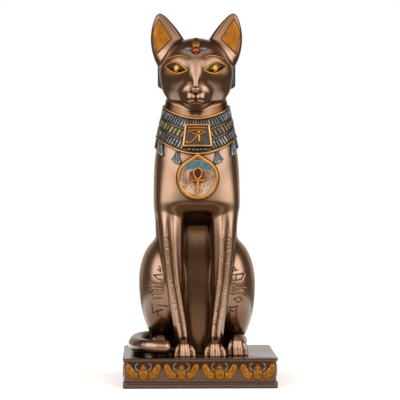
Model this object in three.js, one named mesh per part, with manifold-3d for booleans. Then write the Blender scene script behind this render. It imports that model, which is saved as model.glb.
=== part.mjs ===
// A seated Bastet cat on a scarab plinth, a cold-cast bronze figure 200 mm tall.
// Millimetres, +Z up, the cat faces -Y. The origin is the middle of the plinth's underside.

import * as THREE from 'three';
import { mergeVertices } from 'three/addons/utils/BufferGeometryUtils.js';
import Module from 'manifold-3d';

const wasm = await Module();
wasm.setup();

// Plinth: two slabs with a sunk frieze between them.
const PLINTH_WIDTH = 82;
const PLINTH_DEPTH = 70;
const PLINTH_HEIGHT = 16;
const UPPER_SLAB = 1.7;
const LOWER_SLAB = 3.3;
const FRIEZE_INSET = 0.8;
const PLINTH_CORNER = 2.2;

// Scarabs of the frieze: body, raised wings and forelegs.
const SCARAB_PITCH = 20.1;
const SCARAB_SPAN = 17.6;
const SCARAB_BODY_WIDTH = 4.6;
const SCARAB_BODY_HEIGHT = 6.2;
const SCARAB_RELIEF = 0.75;
const SCARAB_LOW = 1.3;

// Trunk stations from the plinth up: height, half width, front and back of the section.
const TRUNK = [
  { z: 8, half: 21, front: -9, back: 25 },
  { z: 30, half: 22.5, front: -10.5, back: 28.5 },
  { z: 52, half: 22.5, front: -11, back: 29.5 },
  { z: 70, half: 21.5, front: -10, back: 27.5 },
  { z: 86, half: 21.6, front: -12.5, back: 24 },
  { z: 93, half: 22.2, front: -20, back: 22.3 },
  { z: 103, half: 23, front: -25.6, back: 20 },
  { z: 114, half: 23, front: -26.6, back: 17.4 },
  { z: 125, half: 22, front: -25, back: 15 },
  { z: 137, half: 20, front: -21.8, back: 12.5 },
  { z: 148, half: 17.8, front: -18.6, back: 10.5 },
  { z: 160, half: 16.4, front: -16, back: 9.5 },
];
const TRUNK_TOP = 160;
const BURIED = 9;
const TRUNK_ROUNDNESS = 2.25;
const SKIN_REACH = 1.3;
const LEAN = 1.5;
const LEAN_HEIGHT = 45;

// Haunches: the thigh is fuller above its middle than below.
const HAUNCH_CENTRE = [18.2, 3.5, 54];
const HAUNCH_RADII = [13.4, 23.5, 25];
const HAUNCH_LOWER = 35;

// Forelegs: joints from the shoulder down, each with its radius.
const FORELEG = [
  { at: [14.6, -15.2, 100], r: 8.6 },
  { at: [14.2, -18.2, 84], r: 7.2 },
  { at: [13.2, -19.4, 65], r: 5.7 },
  { at: [11.7, -20, 47], r: 4.6 },
  { at: [9.6, -20.6, 30], r: 4.1 },
  { at: [8.6, -22, 21], r: 4.8 },
];
const TENDON_RADIUS = 1.7;
const TENDON_SPREAD = 0.42;
const LEG_WEB_FROM = -20.5;
const LEG_WEB_DEPTH = 2.6;

// Paws: four toes each, sized as shares of the paw.
const FORE_PAW = { x: 8, y: -24.6, z: 20, half: 6.5, length: 6.2, height: 5.6 };
const HIND_PAW = { x: 20.2, y: -20.6, z: 20.4, half: 6.3, length: 6.4, height: 7.4 };
const HIND_FOOT = { ball: [20.4, -16, 20], ballRadius: 4.6, heel: [22, 14, 20], heelRadius: 5.4 };
const TOE_COUNT = 4;
const TOE = { wide: 0.6, length: 0.74, height: 0.86, forward: 0.3, sink: 1.6 };

// Head, in its own frame, which is turned a little about the neck.
const HEAD_PIVOT = [0, -6, 160];
const HEAD_TURN = -0.045;
const SKULL = { c: [0, -7, 167.6], r: [18.5, 17.6, 18.6] };
const JAW = { c: [0, -12.5, 159.8], r: [17.4, 15.4, 12.2] };
const MUZZLE = { c: [0, -25, 155.2], r: [8.8, 9, 6.6] };
const LIP = { c: [0, -26.4, 149.9], r: [5, 5, 2.7] };
const BRIDGE = { top: [0, -22.6, 177], foot: [0, -31.2, 159.4], topRadius: 2.4, footRadius: 2.7 };
const PAD = { c: [3.5, -29.4, 153.6], r: [4.8, 4.9, 3.9] };
const NOSE = { c: [0, -32.2, 157.2], r: [3.1, 2.8, 2.2] };
const CHIN = { c: [0, -27.8, 149.9], r: [4.6, 4.4, 2.6] };
const SOCKET = { c: [10.2, -27.2, 167.8], r: [7.4, 4.4, 5] };
const EYE = { x: 10.6, z: 169.1, length: 13.2, height: 6, turn: 0.5, tilt: 0.22, rim: 0.7, ball: 0.9 };

// Ornament between the ears: a round bead, a long dome above it and two small wings.
const BROW_BEAD = { z: 179.2, r: [2.3, 1.6, 2.3], out: 0.4 };
const BROW_DOME = { at: [0, -16.4, 182.6], r: [2.2, 4.6, 2.4], slant: 0.75 };
const BROW_WING = { x: 4.4, z: 179.8, r: [2.4, 1.4, 1.2], out: 0.2 };

// Ears: the outer edge is an arc, the inner edge a straight slope.
const EAR_TIP = 200;
const EAR_BASE = 170;
const EAR_ARC_CENTRE = [-3.8, 185.6];
const EAR_ARC_RADIUS = 28.5;
const EAR_INNER_FOOT = [6.8, 185.2];
const EAR_INNER_SLOPE = 0.93;
const EAR_DEPTH = 8.2;
const EAR_CENTRE_Y = -2.5;
const EAR_SWEEP = 2.5;
const EAR_TIP_RADIUS = 1.1;
const EAR_PANEL = [[20.1, 196.4], [13.6, 185.8], [21, 177.8], [23.3, 188]];
const EAR_PANEL_FLOOR = 0.76;

// Hanging bands behind the cheeks.
const LAPPET = { x: 17.6, y: 3, top: 176, bottom: 158.8, wide: 6, thick: 7 };

// Collar: its two rims are lower in front than at the back.
const COLLAR_TOP_BACK = 152;
const COLLAR_TOP_DROP = 9.4;
const COLLAR_LOW_BACK = 135.5;
const COLLAR_LOW_DROP = 11.7;
const COLLAR_POWER = 2.9;
const COLLAR_RELIEF = 0.8;
const RIM_WIDTH = 0.9;
const BEAD_ROWS = 3;
const COLLAR_ROOT = 3;
const DROPS = 12;
const DROP = { top: 1.1, foot: 3, height: 6.6, deep: 1.3 };

// Medallion and plaque on the chest.
const MEDALLION = { top: 123.8, middle: 110.6, bottom: 99.8, half: 11.5, thick: 2, rim: 1.7 };
const PLAQUE = { top: 139.4, bottom: 127.8, halfTop: 6.4, halfBottom: 7.8, wire: 0.6 };

// Tail: round the right side of the cat, from the rump to the front corner.
const TAIL = [
  [4, 26, 22.5],
  [-12, 29.8, 21.3],
  [-25, 26.4, 20.6],
  [-32.4, 16, 20.6],
  [-34, 2, 20.8],
  [-33.8, -10, 21],
  [-30.6, -20, 21.2],
  [-24.4, -25.6, 21.2],
  [-18.8, -26.8, 21],
];
const TAIL_ROOT_RADIUS = 4.9;
const TAIL_TIP_RADIUS = 3.5;
const TAIL_STEPS = 22;

const clamp = (v, lo, hi) => Math.min(Math.max(v, lo), hi);
const mix = (a, b, t) => a + (b - a) * t;

// Rounded union and cut of two distances, k wide.
function join(a, b, k) {
  const h = Math.max(k - Math.abs(a - b), 0) / k;
  return Math.min(a, b) - (h * h * k) / 4;
}

function cut(a, b, k) {
  return -join(-a, b, k);
}

function ellipsoid(x, y, z, c, r) {
  const u = (x - c[0]) / r[0];
  const v = (y - c[1]) / r[1];
  const w = (z - c[2]) / r[2];
  const near = Math.hypot(u, v, w);
  const slope = Math.hypot(u / r[0], v / r[1], w / r[2]);
  return slope < 1e-9 ? -Math.min(...r) : (near * (near - 1)) / slope;
}

function limb(x, y, z, a, b, ra, rb) {
  const bx = b[0] - a[0];
  const by = b[1] - a[1];
  const bz = b[2] - a[2];
  const along = (x - a[0]) * bx + (y - a[1]) * by + (z - a[2]) * bz;
  const t = clamp(along / (bx * bx + by * by + bz * bz), 0, 1);
  const gap = Math.hypot(x - a[0] - t * bx, y - a[1] - t * by, z - a[2] - t * bz);
  return gap - mix(ra, rb, t);
}

// The trunk's section at a height, eased between its stations.
function trunkAt(z) {
  const last = TRUNK.length - 1;
  let i = 0;
  while (i < last - 1 && z > TRUNK[i + 1].z) i += 1;
  const here = TRUNK[i];
  const next = TRUNK[i + 1];
  const before = TRUNK[Math.max(i - 1, 0)];
  const after = TRUNK[Math.min(i + 2, last)];
  const span = next.z - here.z;
  const t = clamp((z - here.z) / span, 0, 1);
  const eased = (key) => {
    const m0 = ((next[key] - before[key]) / (next.z - before.z)) * span;
    const m1 = ((after[key] - here[key]) / (after.z - here.z)) * span;
    const t2 = t * t;
    const t3 = t2 * t;
    return (
      (2 * t3 - 3 * t2 + 1) * here[key] +
      (t3 - 2 * t2 + t) * m0 +
      (3 * t2 - 2 * t3) * next[key] +
      (t3 - t2) * m1
    );
  };
  const front = eased('front');
  const back = eased('back');
  return { half: eased('half'), middle: (front + back) / 2, deep: (back - front) / 2 };
}

function trunk(ax, y, z) {
  const s = trunkAt(z);
  const n = TRUNK_ROUNDNESS;
  const q = ((ax / s.half) ** n + (Math.abs(y - s.middle) / s.deep) ** n) ** (1 / n);
  return Math.max((q - 1) * Math.min(s.half, s.deep), z - TRUNK_TOP);
}

function haunch(ax, y, z) {
  const r = [...HAUNCH_RADII];
  if (z < HAUNCH_CENTRE[2]) r[2] = HAUNCH_LOWER;
  return ellipsoid(ax, y, z, HAUNCH_CENTRE, r);
}

function foreleg(ax, y, z) {
  // Behind its front half the leg is drawn out into a web that meets the belly.
  const drawn = y < LEG_WEB_FROM ? y : LEG_WEB_FROM + (y - LEG_WEB_FROM) / LEG_WEB_DEPTH;
  let leg = Infinity;
  for (let i = 0; i < FORELEG.length - 1; i += 1) {
    const a = FORELEG[i];
    const b = FORELEG[i + 1];
    leg = Math.min(leg, limb(ax, drawn, z, a.at, b.at, a.r, b.r));
  }
  for (const side of [-1, 1]) {
    for (let i = 1; i < FORELEG.length - 2; i += 1) {
      const [a, b] = [FORELEG[i], FORELEG[i + 1]].map(({ at, r }) => [
        at[0] + side * r * TENDON_SPREAD,
        at[1] - r + TENDON_RADIUS * 0.7,
        at[2],
      ]);
      leg = join(leg, limb(ax, y, z, a, b, TENDON_RADIUS, TENDON_RADIUS), 1);
    }
  }
  return leg;
}

function paw(ax, y, z, p) {
  return ellipsoid(ax, y, z, [p.x, p.y + p.length * 0.4, p.z], [p.half * 0.85, p.length, p.height]);
}

function head(x0, y0, z) {
  const dx = x0 - HEAD_PIVOT[0];
  const dy = y0 - HEAD_PIVOT[1];
  const cos = Math.cos(HEAD_TURN);
  const sin = Math.sin(HEAD_TURN);
  const x = HEAD_PIVOT[0] + dx * cos + dy * sin;
  const y = HEAD_PIVOT[1] - dx * sin + dy * cos;
  const ax = Math.abs(x);
  let f = join(ellipsoid(ax, y, z, SKULL.c, SKULL.r), ellipsoid(ax, y, z, JAW.c, JAW.r), 5);
  f = join(f, ellipsoid(ax, y, z, MUZZLE.c, MUZZLE.r), 4);
  f = join(f, ellipsoid(ax, y, z, LIP.c, LIP.r), 1.5);
  f = join(f, limb(ax, y, z, BRIDGE.top, BRIDGE.foot, BRIDGE.topRadius, BRIDGE.footRadius), 3.5);
  return cut(f, ellipsoid(ax, y, z, SOCKET.c, SOCKET.r), 3);
}

const tailCurve = new THREE.CatmullRomCurve3(TAIL.map((p) => new THREE.Vector3(...p)));
const tailPoints = tailCurve.getPoints(TAIL_STEPS).map((p) => p.toArray());

function tail(x, y, z) {
  let f = Infinity;
  for (let i = 0; i < TAIL_STEPS; i += 1) {
    const ra = mix(TAIL_ROOT_RADIUS, TAIL_TIP_RADIUS, i / TAIL_STEPS);
    const rb = mix(TAIL_ROOT_RADIUS, TAIL_TIP_RADIUS, (i + 1) / TAIL_STEPS);
    f = Math.min(f, limb(x, y, z, tailPoints[i], tailPoints[i + 1], ra, rb));
  }
  return f;
}

function leanAt(z) {
  return -LEAN * (1 - Math.exp(-Math.max(z - PLINTH_HEIGHT, 0) / LEAN_HEIGHT));
}

// Distance to the cat's surface, below zero inside.
function cat(x0, y, z) {
  const x = x0 - leanAt(z);
  const ax = Math.abs(x);
  let f = join(trunk(ax, y, z), haunch(ax, y, z), 3);
  f = join(f, foreleg(ax, y, z), 3);
  f = join(f, paw(ax, y, z, FORE_PAW), 1);
  const { ball: toeBall, ballRadius, heel, heelRadius } = HIND_FOOT;
  f = join(f, limb(ax, y, z, toeBall, heel, ballRadius, heelRadius), 2);
  f = join(f, paw(ax, y, z, HIND_PAW), 1);
  f = join(f, head(x, y, z), 2);
  f = join(f, tail(x0, y, z), 0.8);
  return Math.max(f, BURIED - z);
}

function slopeAt(x, y, z) {
  const e = 0.05;
  const g = [
    cat(x + e, y, z) - cat(x - e, y, z),
    cat(x, y + e, z) - cat(x, y - e, z),
    cat(x, y, z + e) - cat(x, y, z - e),
  ];
  return g.map((v) => v / (2 * e));
}

// Grid lines whose spacing eases from one zone to the next.
function gridLines(zones) {
  const lines = [zones[0].from];
  for (const { to, step } of zones) {
    const from = lines[lines.length - 1];
    const count = Math.max(Math.round((to - from) / step), 1);
    for (let i = 1; i <= count; i += 1) lines.push(mix(from, to, i / count));
  }
  return lines;
}

// Meshes the cat's surface: one vertex for each sheet of surface in a grid cell, one
// four-sided face for each grid edge that the surface crosses.
function skin(xs, ys, zs) {
  const size = [xs.length, ys.length, zs.length];
  const at = (i, j, k) => (k * size[1] + j) * size[0] + i;
  const value = new Float64Array(size[0] * size[1] * size[2]);
  zs.forEach((z, k) => ys.forEach((y, j) => xs.forEach((x, i) => {
    value[at(i, j, k)] = cat(x, y, z) || 1e-6;
  })));
  const inside = (i, j, k) => value[at(i, j, k)] < 0;
  const lines = [xs, ys, zs];
  const vertices = [];
  const sheetOf = new Map();
  const edgeKey = (axis, i, j, k) => at(i, j, k) * 3 + axis;
  const sheetKey = (cell, edge) => `${cell}/${edge}`;

  const crossing = (axis, i, j, k) => {
    const step = [0, 0, 0];
    step[axis] = 1;
    const a = value[at(i, j, k)];
    const b = value[at(i + step[0], j + step[1], k + step[2])];
    const p = [xs[i], ys[j], zs[k]];
    const line = lines[axis];
    const n = [i, j, k][axis];
    p[axis] = mix(line[n], line[n + 1], a / (a - b));
    return p;
  };

  const cellSheets = (i, j, k) => {
    const crossed = [];
    for (let axis = 0; axis < 3; axis += 1) {
      for (let m = 0; m < 4; m += 1) {
        const o = [0, 0, 0];
        o[(axis + 1) % 3] = m & 1;
        o[(axis + 2) % 3] = m >> 1;
        const s = [...o];
        s[axis] = 1;
        const a = inside(i + o[0], j + o[1], k + o[2]);
        const b = inside(i + s[0], j + s[1], k + s[2]);
        if (a !== b) crossed.push({ key: edgeKey(axis, i + o[0], j + o[1], k + o[2]), axis, o });
      }
    }
    if (!crossed.length) return;
    const group = crossed.map((_, n) => n);
    const link = (a, b) => {
      const [ga, gb] = [group[a], group[b]];
      group.forEach((g, n) => { if (g === gb) group[n] = ga; });
    };
    for (let axis = 0; axis < 3; axis += 1) {
      for (const side of [0, 1]) {
        const onFace = [];
        crossed.forEach((c, n) => {
          if (c.axis !== axis && c.o[axis] === side) onFace.push(n);
        });
        if (onFace.length === 2) link(onFace[0], onFace[1]);
        if (onFace.length !== 4) continue;
        // Two diagonal corners are inside: each one's own two edges belong together.
        const [u, v] = [(axis + 1) % 3, (axis + 2) % 3];
        for (const [cu, cv] of [[0, 0], [1, 0], [0, 1], [1, 1]]) {
          const corner = [0, 0, 0];
          corner[axis] = side;
          corner[u] = cu;
          corner[v] = cv;
          if (!inside(i + corner[0], j + corner[1], k + corner[2])) continue;
          const own = onFace.filter((n) => {
            const c = crossed[n];
            return c.axis === u ? c.o[v] === cv : c.o[u] === cu;
          });
          link(own[0], own[1]);
        }
      }
    }
    const cell = at(i, j, k);
    for (const g of new Set(group)) {
      const members = crossed.filter((_, n) => group[n] === g);
      const centre = [0, 0, 0];
      for (const c of members) {
        const p = crossing(c.axis, i + c.o[0], j + c.o[1], k + c.o[2]);
        p.forEach((v, n) => { centre[n] += v / members.length; });
      }
      const id = vertices.length;
      vertices.push(centre);
      for (const c of members) sheetOf.set(sheetKey(cell, c.key), id);
    }
  };

  for (let k = 0; k < size[2] - 1; k += 1) {
    for (let j = 0; j < size[1] - 1; j += 1) {
      for (let i = 0; i < size[0] - 1; i += 1) cellSheets(i, j, k);
    }
  }

  const faces = [];
  for (let k = 1; k < size[2] - 1; k += 1) {
    for (let j = 1; j < size[1] - 1; j += 1) {
      for (let i = 1; i < size[0] - 1; i += 1) {
        for (let axis = 0; axis < 3; axis += 1) {
          const s = [0, 0, 0];
          s[axis] = 1;
          const a = inside(i, j, k);
          if (a === inside(i + s[0], j + s[1], k + s[2])) continue;
          const key = edgeKey(axis, i, j, k);
          const ring = [[0, 0], [1, 0], [1, 1], [0, 1]].map(([du, dv]) => {
            const c = [i, j, k];
            c[(axis + 1) % 3] -= du;
            c[(axis + 2) % 3] -= dv;
            return sheetOf.get(sheetKey(at(...c), key));
          });
          faces.push(a ? ring : ring.reverse());
        }
      }
    }
  }
  return { vertices, faces };
}

// Draws each vertex onto the surface, in short steps and no further than a short reach.
function settle(vertices, reach) {
  return vertices.map((start) => {
    let p = start;
    for (let n = 0; n < 6; n += 1) {
      const f = cat(...p);
      const g = slopeAt(...p);
      const steep = Math.max(g[0] ** 2 + g[1] ** 2 + g[2] ** 2, 0.3);
      p = p.map((v, i) => v - clamp((f * g[i]) / steep, -0.6, 0.6));
    }
    const moved = Math.hypot(...p.map((v, i) => v - start[i]));
    return moved < reach && Math.abs(cat(...p)) < 0.15 ? p : start;
  });
}

// Splits four-sided faces along their shorter diagonal.
function triangles(vertices, faces) {
  const gap = (a, b) => Math.hypot(...vertices[a].map((v, i) => v - vertices[b][i]));
  return faces.flatMap(([a, b, c, d]) => (
    gap(a, c) < gap(b, d) ? [[a, b, c], [a, c, d]] : [[a, b, d], [b, c, d]]
  ));
}

function toSolid(geometry) {
  const bare = new THREE.BufferGeometry();
  bare.setAttribute('position', geometry.getAttribute('position').clone());
  if (geometry.index) bare.setIndex(geometry.index.clone());
  const merged = mergeVertices(bare, 1e-4);
  return new wasm.Manifold(new wasm.Mesh({
    numProp: 3,
    vertProperties: new Float32Array(merged.getAttribute('position').array),
    triVerts: new Uint32Array(merged.index.array),
  }));
}

function toGeometry(solid) {
  const mesh = solid.getMesh();
  const geometry = new THREE.BufferGeometry();
  geometry.setAttribute('position', new THREE.BufferAttribute(new Float32Array(mesh.vertProperties), 3));
  geometry.setIndex(new THREE.BufferAttribute(new Uint32Array(mesh.triVerts), 1));
  geometry.computeVertexNormals();
  return geometry;
}

function extruded(shape, depth, curveSegments) {
  return new THREE.ExtrudeGeometry(shape, { depth, curveSegments, bevelEnabled: false });
}

// An outline from a short list of its corners.
const corners = (list) => list.map(([x, z]) => new THREE.Vector2(x, z));

function box(width, depth, height, x, y, z) {
  return new THREE.BoxGeometry(width, depth, height).translate(x, y, z);
}

// The y of the cat's front at a place on its elevation.
function frontAt(x, z) {
  let y = -45;
  while (cat(x, y, z) > 0 && y < 30) y += 0.5;
  let out = y - 0.5;
  for (let n = 0; n < 12; n += 1) {
    const half = (out + y) / 2;
    if (cat(x, half, z) > 0) out = half;
    else y = half;
  }
  return out;
}

// A closed form from rings of points, with a fan over each end.
function loft(rings) {
  const sides = rings[0].length;
  const points = rings.flat();
  const index = [];
  for (let i = 0; i < rings.length - 1; i += 1) {
    for (let j = 0; j < sides; j += 1) {
      const a = i * sides + j;
      const b = i * sides + ((j + 1) % sides);
      index.push(a, b, b + sides, a, b + sides, a + sides);
    }
  }
  const middle = (ring) => {
    const sum = ring.reduce((m, p) => m.add(p), new THREE.Vector3());
    return sum.divideScalar(sides);
  };
  const last = (rings.length - 1) * sides;
  points.push(middle(rings[0]), middle(rings[rings.length - 1]));
  for (let j = 0; j < sides; j += 1) {
    const k = (j + 1) % sides;
    index.push(k, j, points.length - 2, last + j, last + k, points.length - 1);
  }
  const geometry = new THREE.BufferGeometry().setFromPoints(points);
  geometry.setIndex(index);
  return geometry;
}

function mirrored(geometry) {
  const other = geometry.clone().scale(-1, 1, 1);
  const index = [...other.index.array];
  for (let i = 0; i < index.length; i += 3) [index[i], index[i + 1]] = [index[i + 1], index[i]];
  other.setIndex(index);
  return other;
}

// From the head's own frame to the cat's.
function onHead(geometry) {
  const pivot = new THREE.Vector3(...HEAD_PIVOT);
  return geometry
    .translate(-pivot.x, -pivot.y, -pivot.z)
    .rotateZ(HEAD_TURN)
    .translate(pivot.x + leanAt(EYE.z), pivot.y, pivot.z);
}

// The same form on both sides of the head.
function pair(geometry) {
  const other = mirrored(geometry);
  return [geometry, other].map((side) => toSolid(onHead(side)));
}

function add(solid, others) {
  return others.reduce((sum, other) => sum.add(other), solid);
}

function earForm(depthScale) {
  const rings = [];
  const steps = 6;
  const sides = 9;
  for (let i = 0; i <= steps; i += 1) {
    const t = i / steps;
    const z = mix(EAR_BASE, EAR_TIP, t);
    const arc = Math.sqrt(EAR_ARC_RADIUS ** 2 - (z - EAR_ARC_CENTRE[1]) ** 2);
    const outer = EAR_ARC_CENTRE[0] + arc;
    const inner = EAR_INNER_FOOT[0] + (z - EAR_INNER_FOOT[1]) * EAR_INNER_SLOPE;
    const half = Math.max((outer - inner) / 2, EAR_TIP_RADIUS);
    const deep = mix(EAR_DEPTH, EAR_TIP_RADIUS, t ** 1.2) * depthScale;
    const ring = [];
    for (let j = 0; j < sides; j += 1) {
      const a = (2 * Math.PI * j) / sides;
      const x = outer - half + half * Math.cos(a);
      ring.push(new THREE.Vector3(x, EAR_CENTRE_Y + EAR_SWEEP * t + deep * Math.sin(a), z));
    }
    rings.push(ring);
  }
  return loft(rings);
}

function ears() {
  const panel = extruded(new THREE.Shape(corners(EAR_PANEL)), 20, 1);
  panel.rotateX(Math.PI / 2).translate(0, EAR_CENTRE_Y, 0);
  const sunk = toSolid(panel).subtract(toSolid(earForm(EAR_PANEL_FLOOR)));
  const one = toGeometry(toSolid(earForm(1)).subtract(sunk));
  return pair(one);
}

function lappets() {
  const { x, y, top, bottom, wide, thick } = LAPPET;
  const r = wide / 2;
  const outline = new THREE.Shape();
  outline.moveTo(-r, top);
  outline.lineTo(-r, bottom + r);
  outline.absarc(0, bottom + r, r, Math.PI, 2 * Math.PI, false);
  outline.lineTo(r, top);
  const bar = extruded(outline, thick, 4);
  bar.rotateX(Math.PI / 2).rotateZ(Math.PI / 2).translate(x - thick / 2, y, 0);
  return pair(toGeometry(toSolid(bar)));
}

// An almond outline, half as high as long, pointed at both corners.
function almond(length, height, count) {
  const points = [];
  for (let i = 0; i < count; i += 1) {
    const a = (2 * Math.PI * i) / count;
    const x = (length / 2) * Math.cos(a);
    const z = (height / 2) * Math.sin(a) * Math.abs(Math.sin(a)) ** 0.25;
    points.push([x, z]);
  }
  return points;
}

function eyes() {
  const outline = almond(EYE.length, EYE.height, 12);
  const levels = [
    [1, -4], [1, EYE.rim * 0.4], [0.93, EYE.rim], [0.8, EYE.rim], [0.72, 0.1], [0.36, EYE.ball * 0.8],
  ];
  const form = loft(levels.map(([scale, out]) => (
    outline.map(([x, z]) => new THREE.Vector3(x * scale, -out, z * scale))
  )));
  form.rotateY(-EYE.tilt).rotateZ(EYE.turn);
  form.translate(EYE.x, frontAt(EYE.x + leanAt(EYE.z), EYE.z) - 0.2, EYE.z);
  return pair(toGeometry(toSolid(form)));
}

function ball(c, r, across, down) {
  const form = new THREE.SphereGeometry(1, across, down).rotateX(Math.PI / 2);
  return form.scale(...r).translate(...c);
}

// Cheek pads, nose and chin.
function muzzle() {
  const pads = pair(toGeometry(toSolid(ball(PAD.c, PAD.r, 8, 5))));
  return [...pads, ...[NOSE, CHIN].map(({ c, r }) => toSolid(onHead(ball(c, r, 8, 5))))];
}

// Four toes on each paw, the middle ones foremost.
function toes() {
  return [FORE_PAW, HIND_PAW].flatMap((p) => {
    const pitch = (2 * p.half) / TOE_COUNT;
    return [-1, 1].flatMap((side) => Array.from({ length: TOE_COUNT }, (_, i) => {
      const off = (i - (TOE_COUNT - 1) / 2) * pitch;
      const y = p.y - p.length * TOE.forward + Math.abs(off) * 0.3;
      const c = [side * (p.x + off) + leanAt(p.z), y, p.z - TOE.sink];
      return toSolid(ball(c, [pitch * TOE.wide, p.length * TOE.length, p.height * TOE.height], 5, 4));
    }));
  });
}

// Bead, dome and wings on the brow.
function browJewel() {
  const bead = ball([0, frontAt(0, BROW_BEAD.z) + BROW_BEAD.out, BROW_BEAD.z], BROW_BEAD.r, 8, 6);
  const dome = new THREE.SphereGeometry(1, 8, 5);
  dome.scale(...BROW_DOME.r).rotateX(BROW_DOME.slant).translate(...BROW_DOME.at);
  const wing = new THREE.SphereGeometry(1, 6, 4).scale(...BROW_WING.r);
  wing.translate(BROW_WING.x, frontAt(BROW_WING.x, BROW_WING.z) + BROW_WING.out, BROW_WING.z);
  return [...[bead, dome].map((form) => toSolid(onHead(form))), ...pair(toGeometry(toSolid(wing)))];
}

// A point of the collar at an angle round the neck, 0 in front, standing out from the trunk.
function collarPoint(angle, heightAt, out) {
  const z = heightAt(((1 + Math.cos(angle)) / 2) ** COLLAR_POWER);
  const s = trunkAt(z);
  const n = TRUNK_ROUNDNESS;
  const across = Math.abs(Math.sin(angle)) / s.half;
  const along = Math.abs(Math.cos(angle)) / s.deep;
  const reach = (across ** n + along ** n) ** (-1 / n) + out;
  return new THREE.Vector3(leanAt(z) + reach * Math.sin(angle), s.middle - reach * Math.cos(angle), z);
}

const collarTop = (f) => COLLAR_TOP_BACK - COLLAR_TOP_DROP * f;
const collarLow = (f) => COLLAR_LOW_BACK - COLLAR_LOW_DROP * f;

// The collar's profile from the lower rim up: how far up the band, and how far out.
function collarProfile() {
  const band = COLLAR_TOP_BACK - COLLAR_LOW_BACK;
  const rim = RIM_WIDTH / band;
  const profile = [[-rim, -COLLAR_ROOT], [-rim, 0.8], [0, 1.5], [rim, 0.8]];
  const row = (1 - 2 * rim) / BEAD_ROWS;
  for (let i = 0; i < BEAD_ROWS; i += 1) {
    const low = rim + row * i;
    profile.push([low + row * 0.3, 1], [low + row, 0.5]);
  }
  return [...profile, [1, 1.3], [1 + rim, 0.7], [1 + rim, -COLLAR_ROOT]];
}

function collarBand() {
  const sides = 24;
  const profile = collarProfile();
  const positions = [];
  const index = [];
  for (let i = 0; i < sides; i += 1) {
    const angle = (2 * Math.PI * i) / sides;
    for (const [up, out] of profile) {
      const heightAt = (f) => mix(collarLow(f), collarTop(f), up);
      positions.push(...collarPoint(angle, heightAt, out).toArray());
    }
  }
  const count = profile.length;
  for (let i = 0; i < sides; i += 1) {
    for (let j = 0; j < count; j += 1) {
      const a = i * count + j;
      const b = i * count + ((j + 1) % count);
      const c = ((i + 1) % sides) * count + ((j + 1) % count);
      const d = ((i + 1) % sides) * count + j;
      index.push(a, d, c, a, c, b);
    }
  }
  const geometry = new THREE.BufferGeometry();
  geometry.setAttribute('position', new THREE.Float32BufferAttribute(positions, 3));
  geometry.setIndex(index);
  return [toSolid(geometry)];
}

// Flower drops under the lower rim, all round but where the medallion hangs.
function collarDrops() {
  const drops = [];
  for (let i = 1; i < DROPS; i += 1) {
    const angle = (2 * Math.PI * i) / DROPS;
    const hang = (down) => (f) => collarLow(f) - down;
    const side = new THREE.Vector3(Math.cos(angle), Math.sin(angle), 0);
    const outward = new THREE.Vector3(Math.sin(angle), -Math.cos(angle), 0);
    const levels = [
      [0, DROP.top, 0.5 * DROP.deep],
      [DROP.height * 0.55, DROP.top * 1.5, 0.7 * DROP.deep],
      [DROP.height, DROP.foot, DROP.deep],
    ];
    const rings = levels.map(([down, half, out]) => {
      const c = collarPoint(angle, hang(down), 0);
      const section = [[half, -COLLAR_ROOT], [0.4 * half, out], [-0.4 * half, out], [-half, -COLLAR_ROOT]];
      return section.map(([u, v]) => c.clone().addScaledVector(side, u).addScaledVector(outward, v));
    });
    drops.push(toSolid(loft(rings)));
  }
  return drops;
}

// A pointed drop outline for the medallion.
function teardrop(scale) {
  const points = [];
  const steps = 6;
  const rise = (MEDALLION.top - MEDALLION.middle) * scale;
  const fall = (MEDALLION.middle - MEDALLION.bottom) * scale;
  const half = MEDALLION.half * scale;
  for (let i = 0; i <= steps; i += 1) {
    const t = 1 - i / steps;
    points.push([half * (1 - t ** 1.5) ** 0.8, rise * t]);
  }
  for (let i = 1; i <= steps; i += 1) {
    const a = (Math.PI / 2) * (i / steps);
    points.push([half * Math.cos(a), -fall * Math.sin(a)]);
  }
  const left = points.slice(1, -1).reverse().map(([x, z]) => [-x, z]);
  return corners([...points, ...left]);
}

// A flat form facing forwards, its front at the given y.
function slab(shape, depth, z, front) {
  return toSolid(extruded(shape, depth, 5).rotateX(Math.PI / 2).translate(leanAt(z), front + depth, z));
}

function medallion() {
  const front = frontAt(leanAt(MEDALLION.middle), MEDALLION.middle) - MEDALLION.thick;
  const z = MEDALLION.middle;
  const ring = new THREE.Shape(teardrop(1));
  ring.holes.push(new THREE.Path(teardrop(1 - MEDALLION.rim / MEDALLION.half).reverse()));
  const field = new THREE.Shape(teardrop(1 - (0.6 * MEDALLION.rim) / MEDALLION.half));
  return [slab(ring, 7, z, front), slab(field, 6, z, front + 1), ...ankh(front)];
}

// Looped cross on the medallion: a loop, a bar and a flared stem.
function ankh(front) {
  const loop = new THREE.Shape().absellipse(0, 0, 2.6, 3.2, 0, 2 * Math.PI, false, 0);
  loop.holes.push(new THREE.Path().absellipse(0, 0.1, 1.7, 2.2, 0, 2 * Math.PI, true, 0));
  const cross = new THREE.Shape(corners([
    [-3.8, 0.7], [3.8, 0.7], [3.8, -0.8], [0.9, -0.6], [1.3, -7.2], [-1.3, -7.2], [-0.9, -0.6], [-3.8, -0.8],
  ]));
  const loopMiddle = MEDALLION.middle + 2.6;
  const barMiddle = MEDALLION.middle - 1;
  return [slab(loop, 3, loopMiddle, front + 0.1), slab(cross, 3, barMiddle, front + 0.1)];
}

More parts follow.
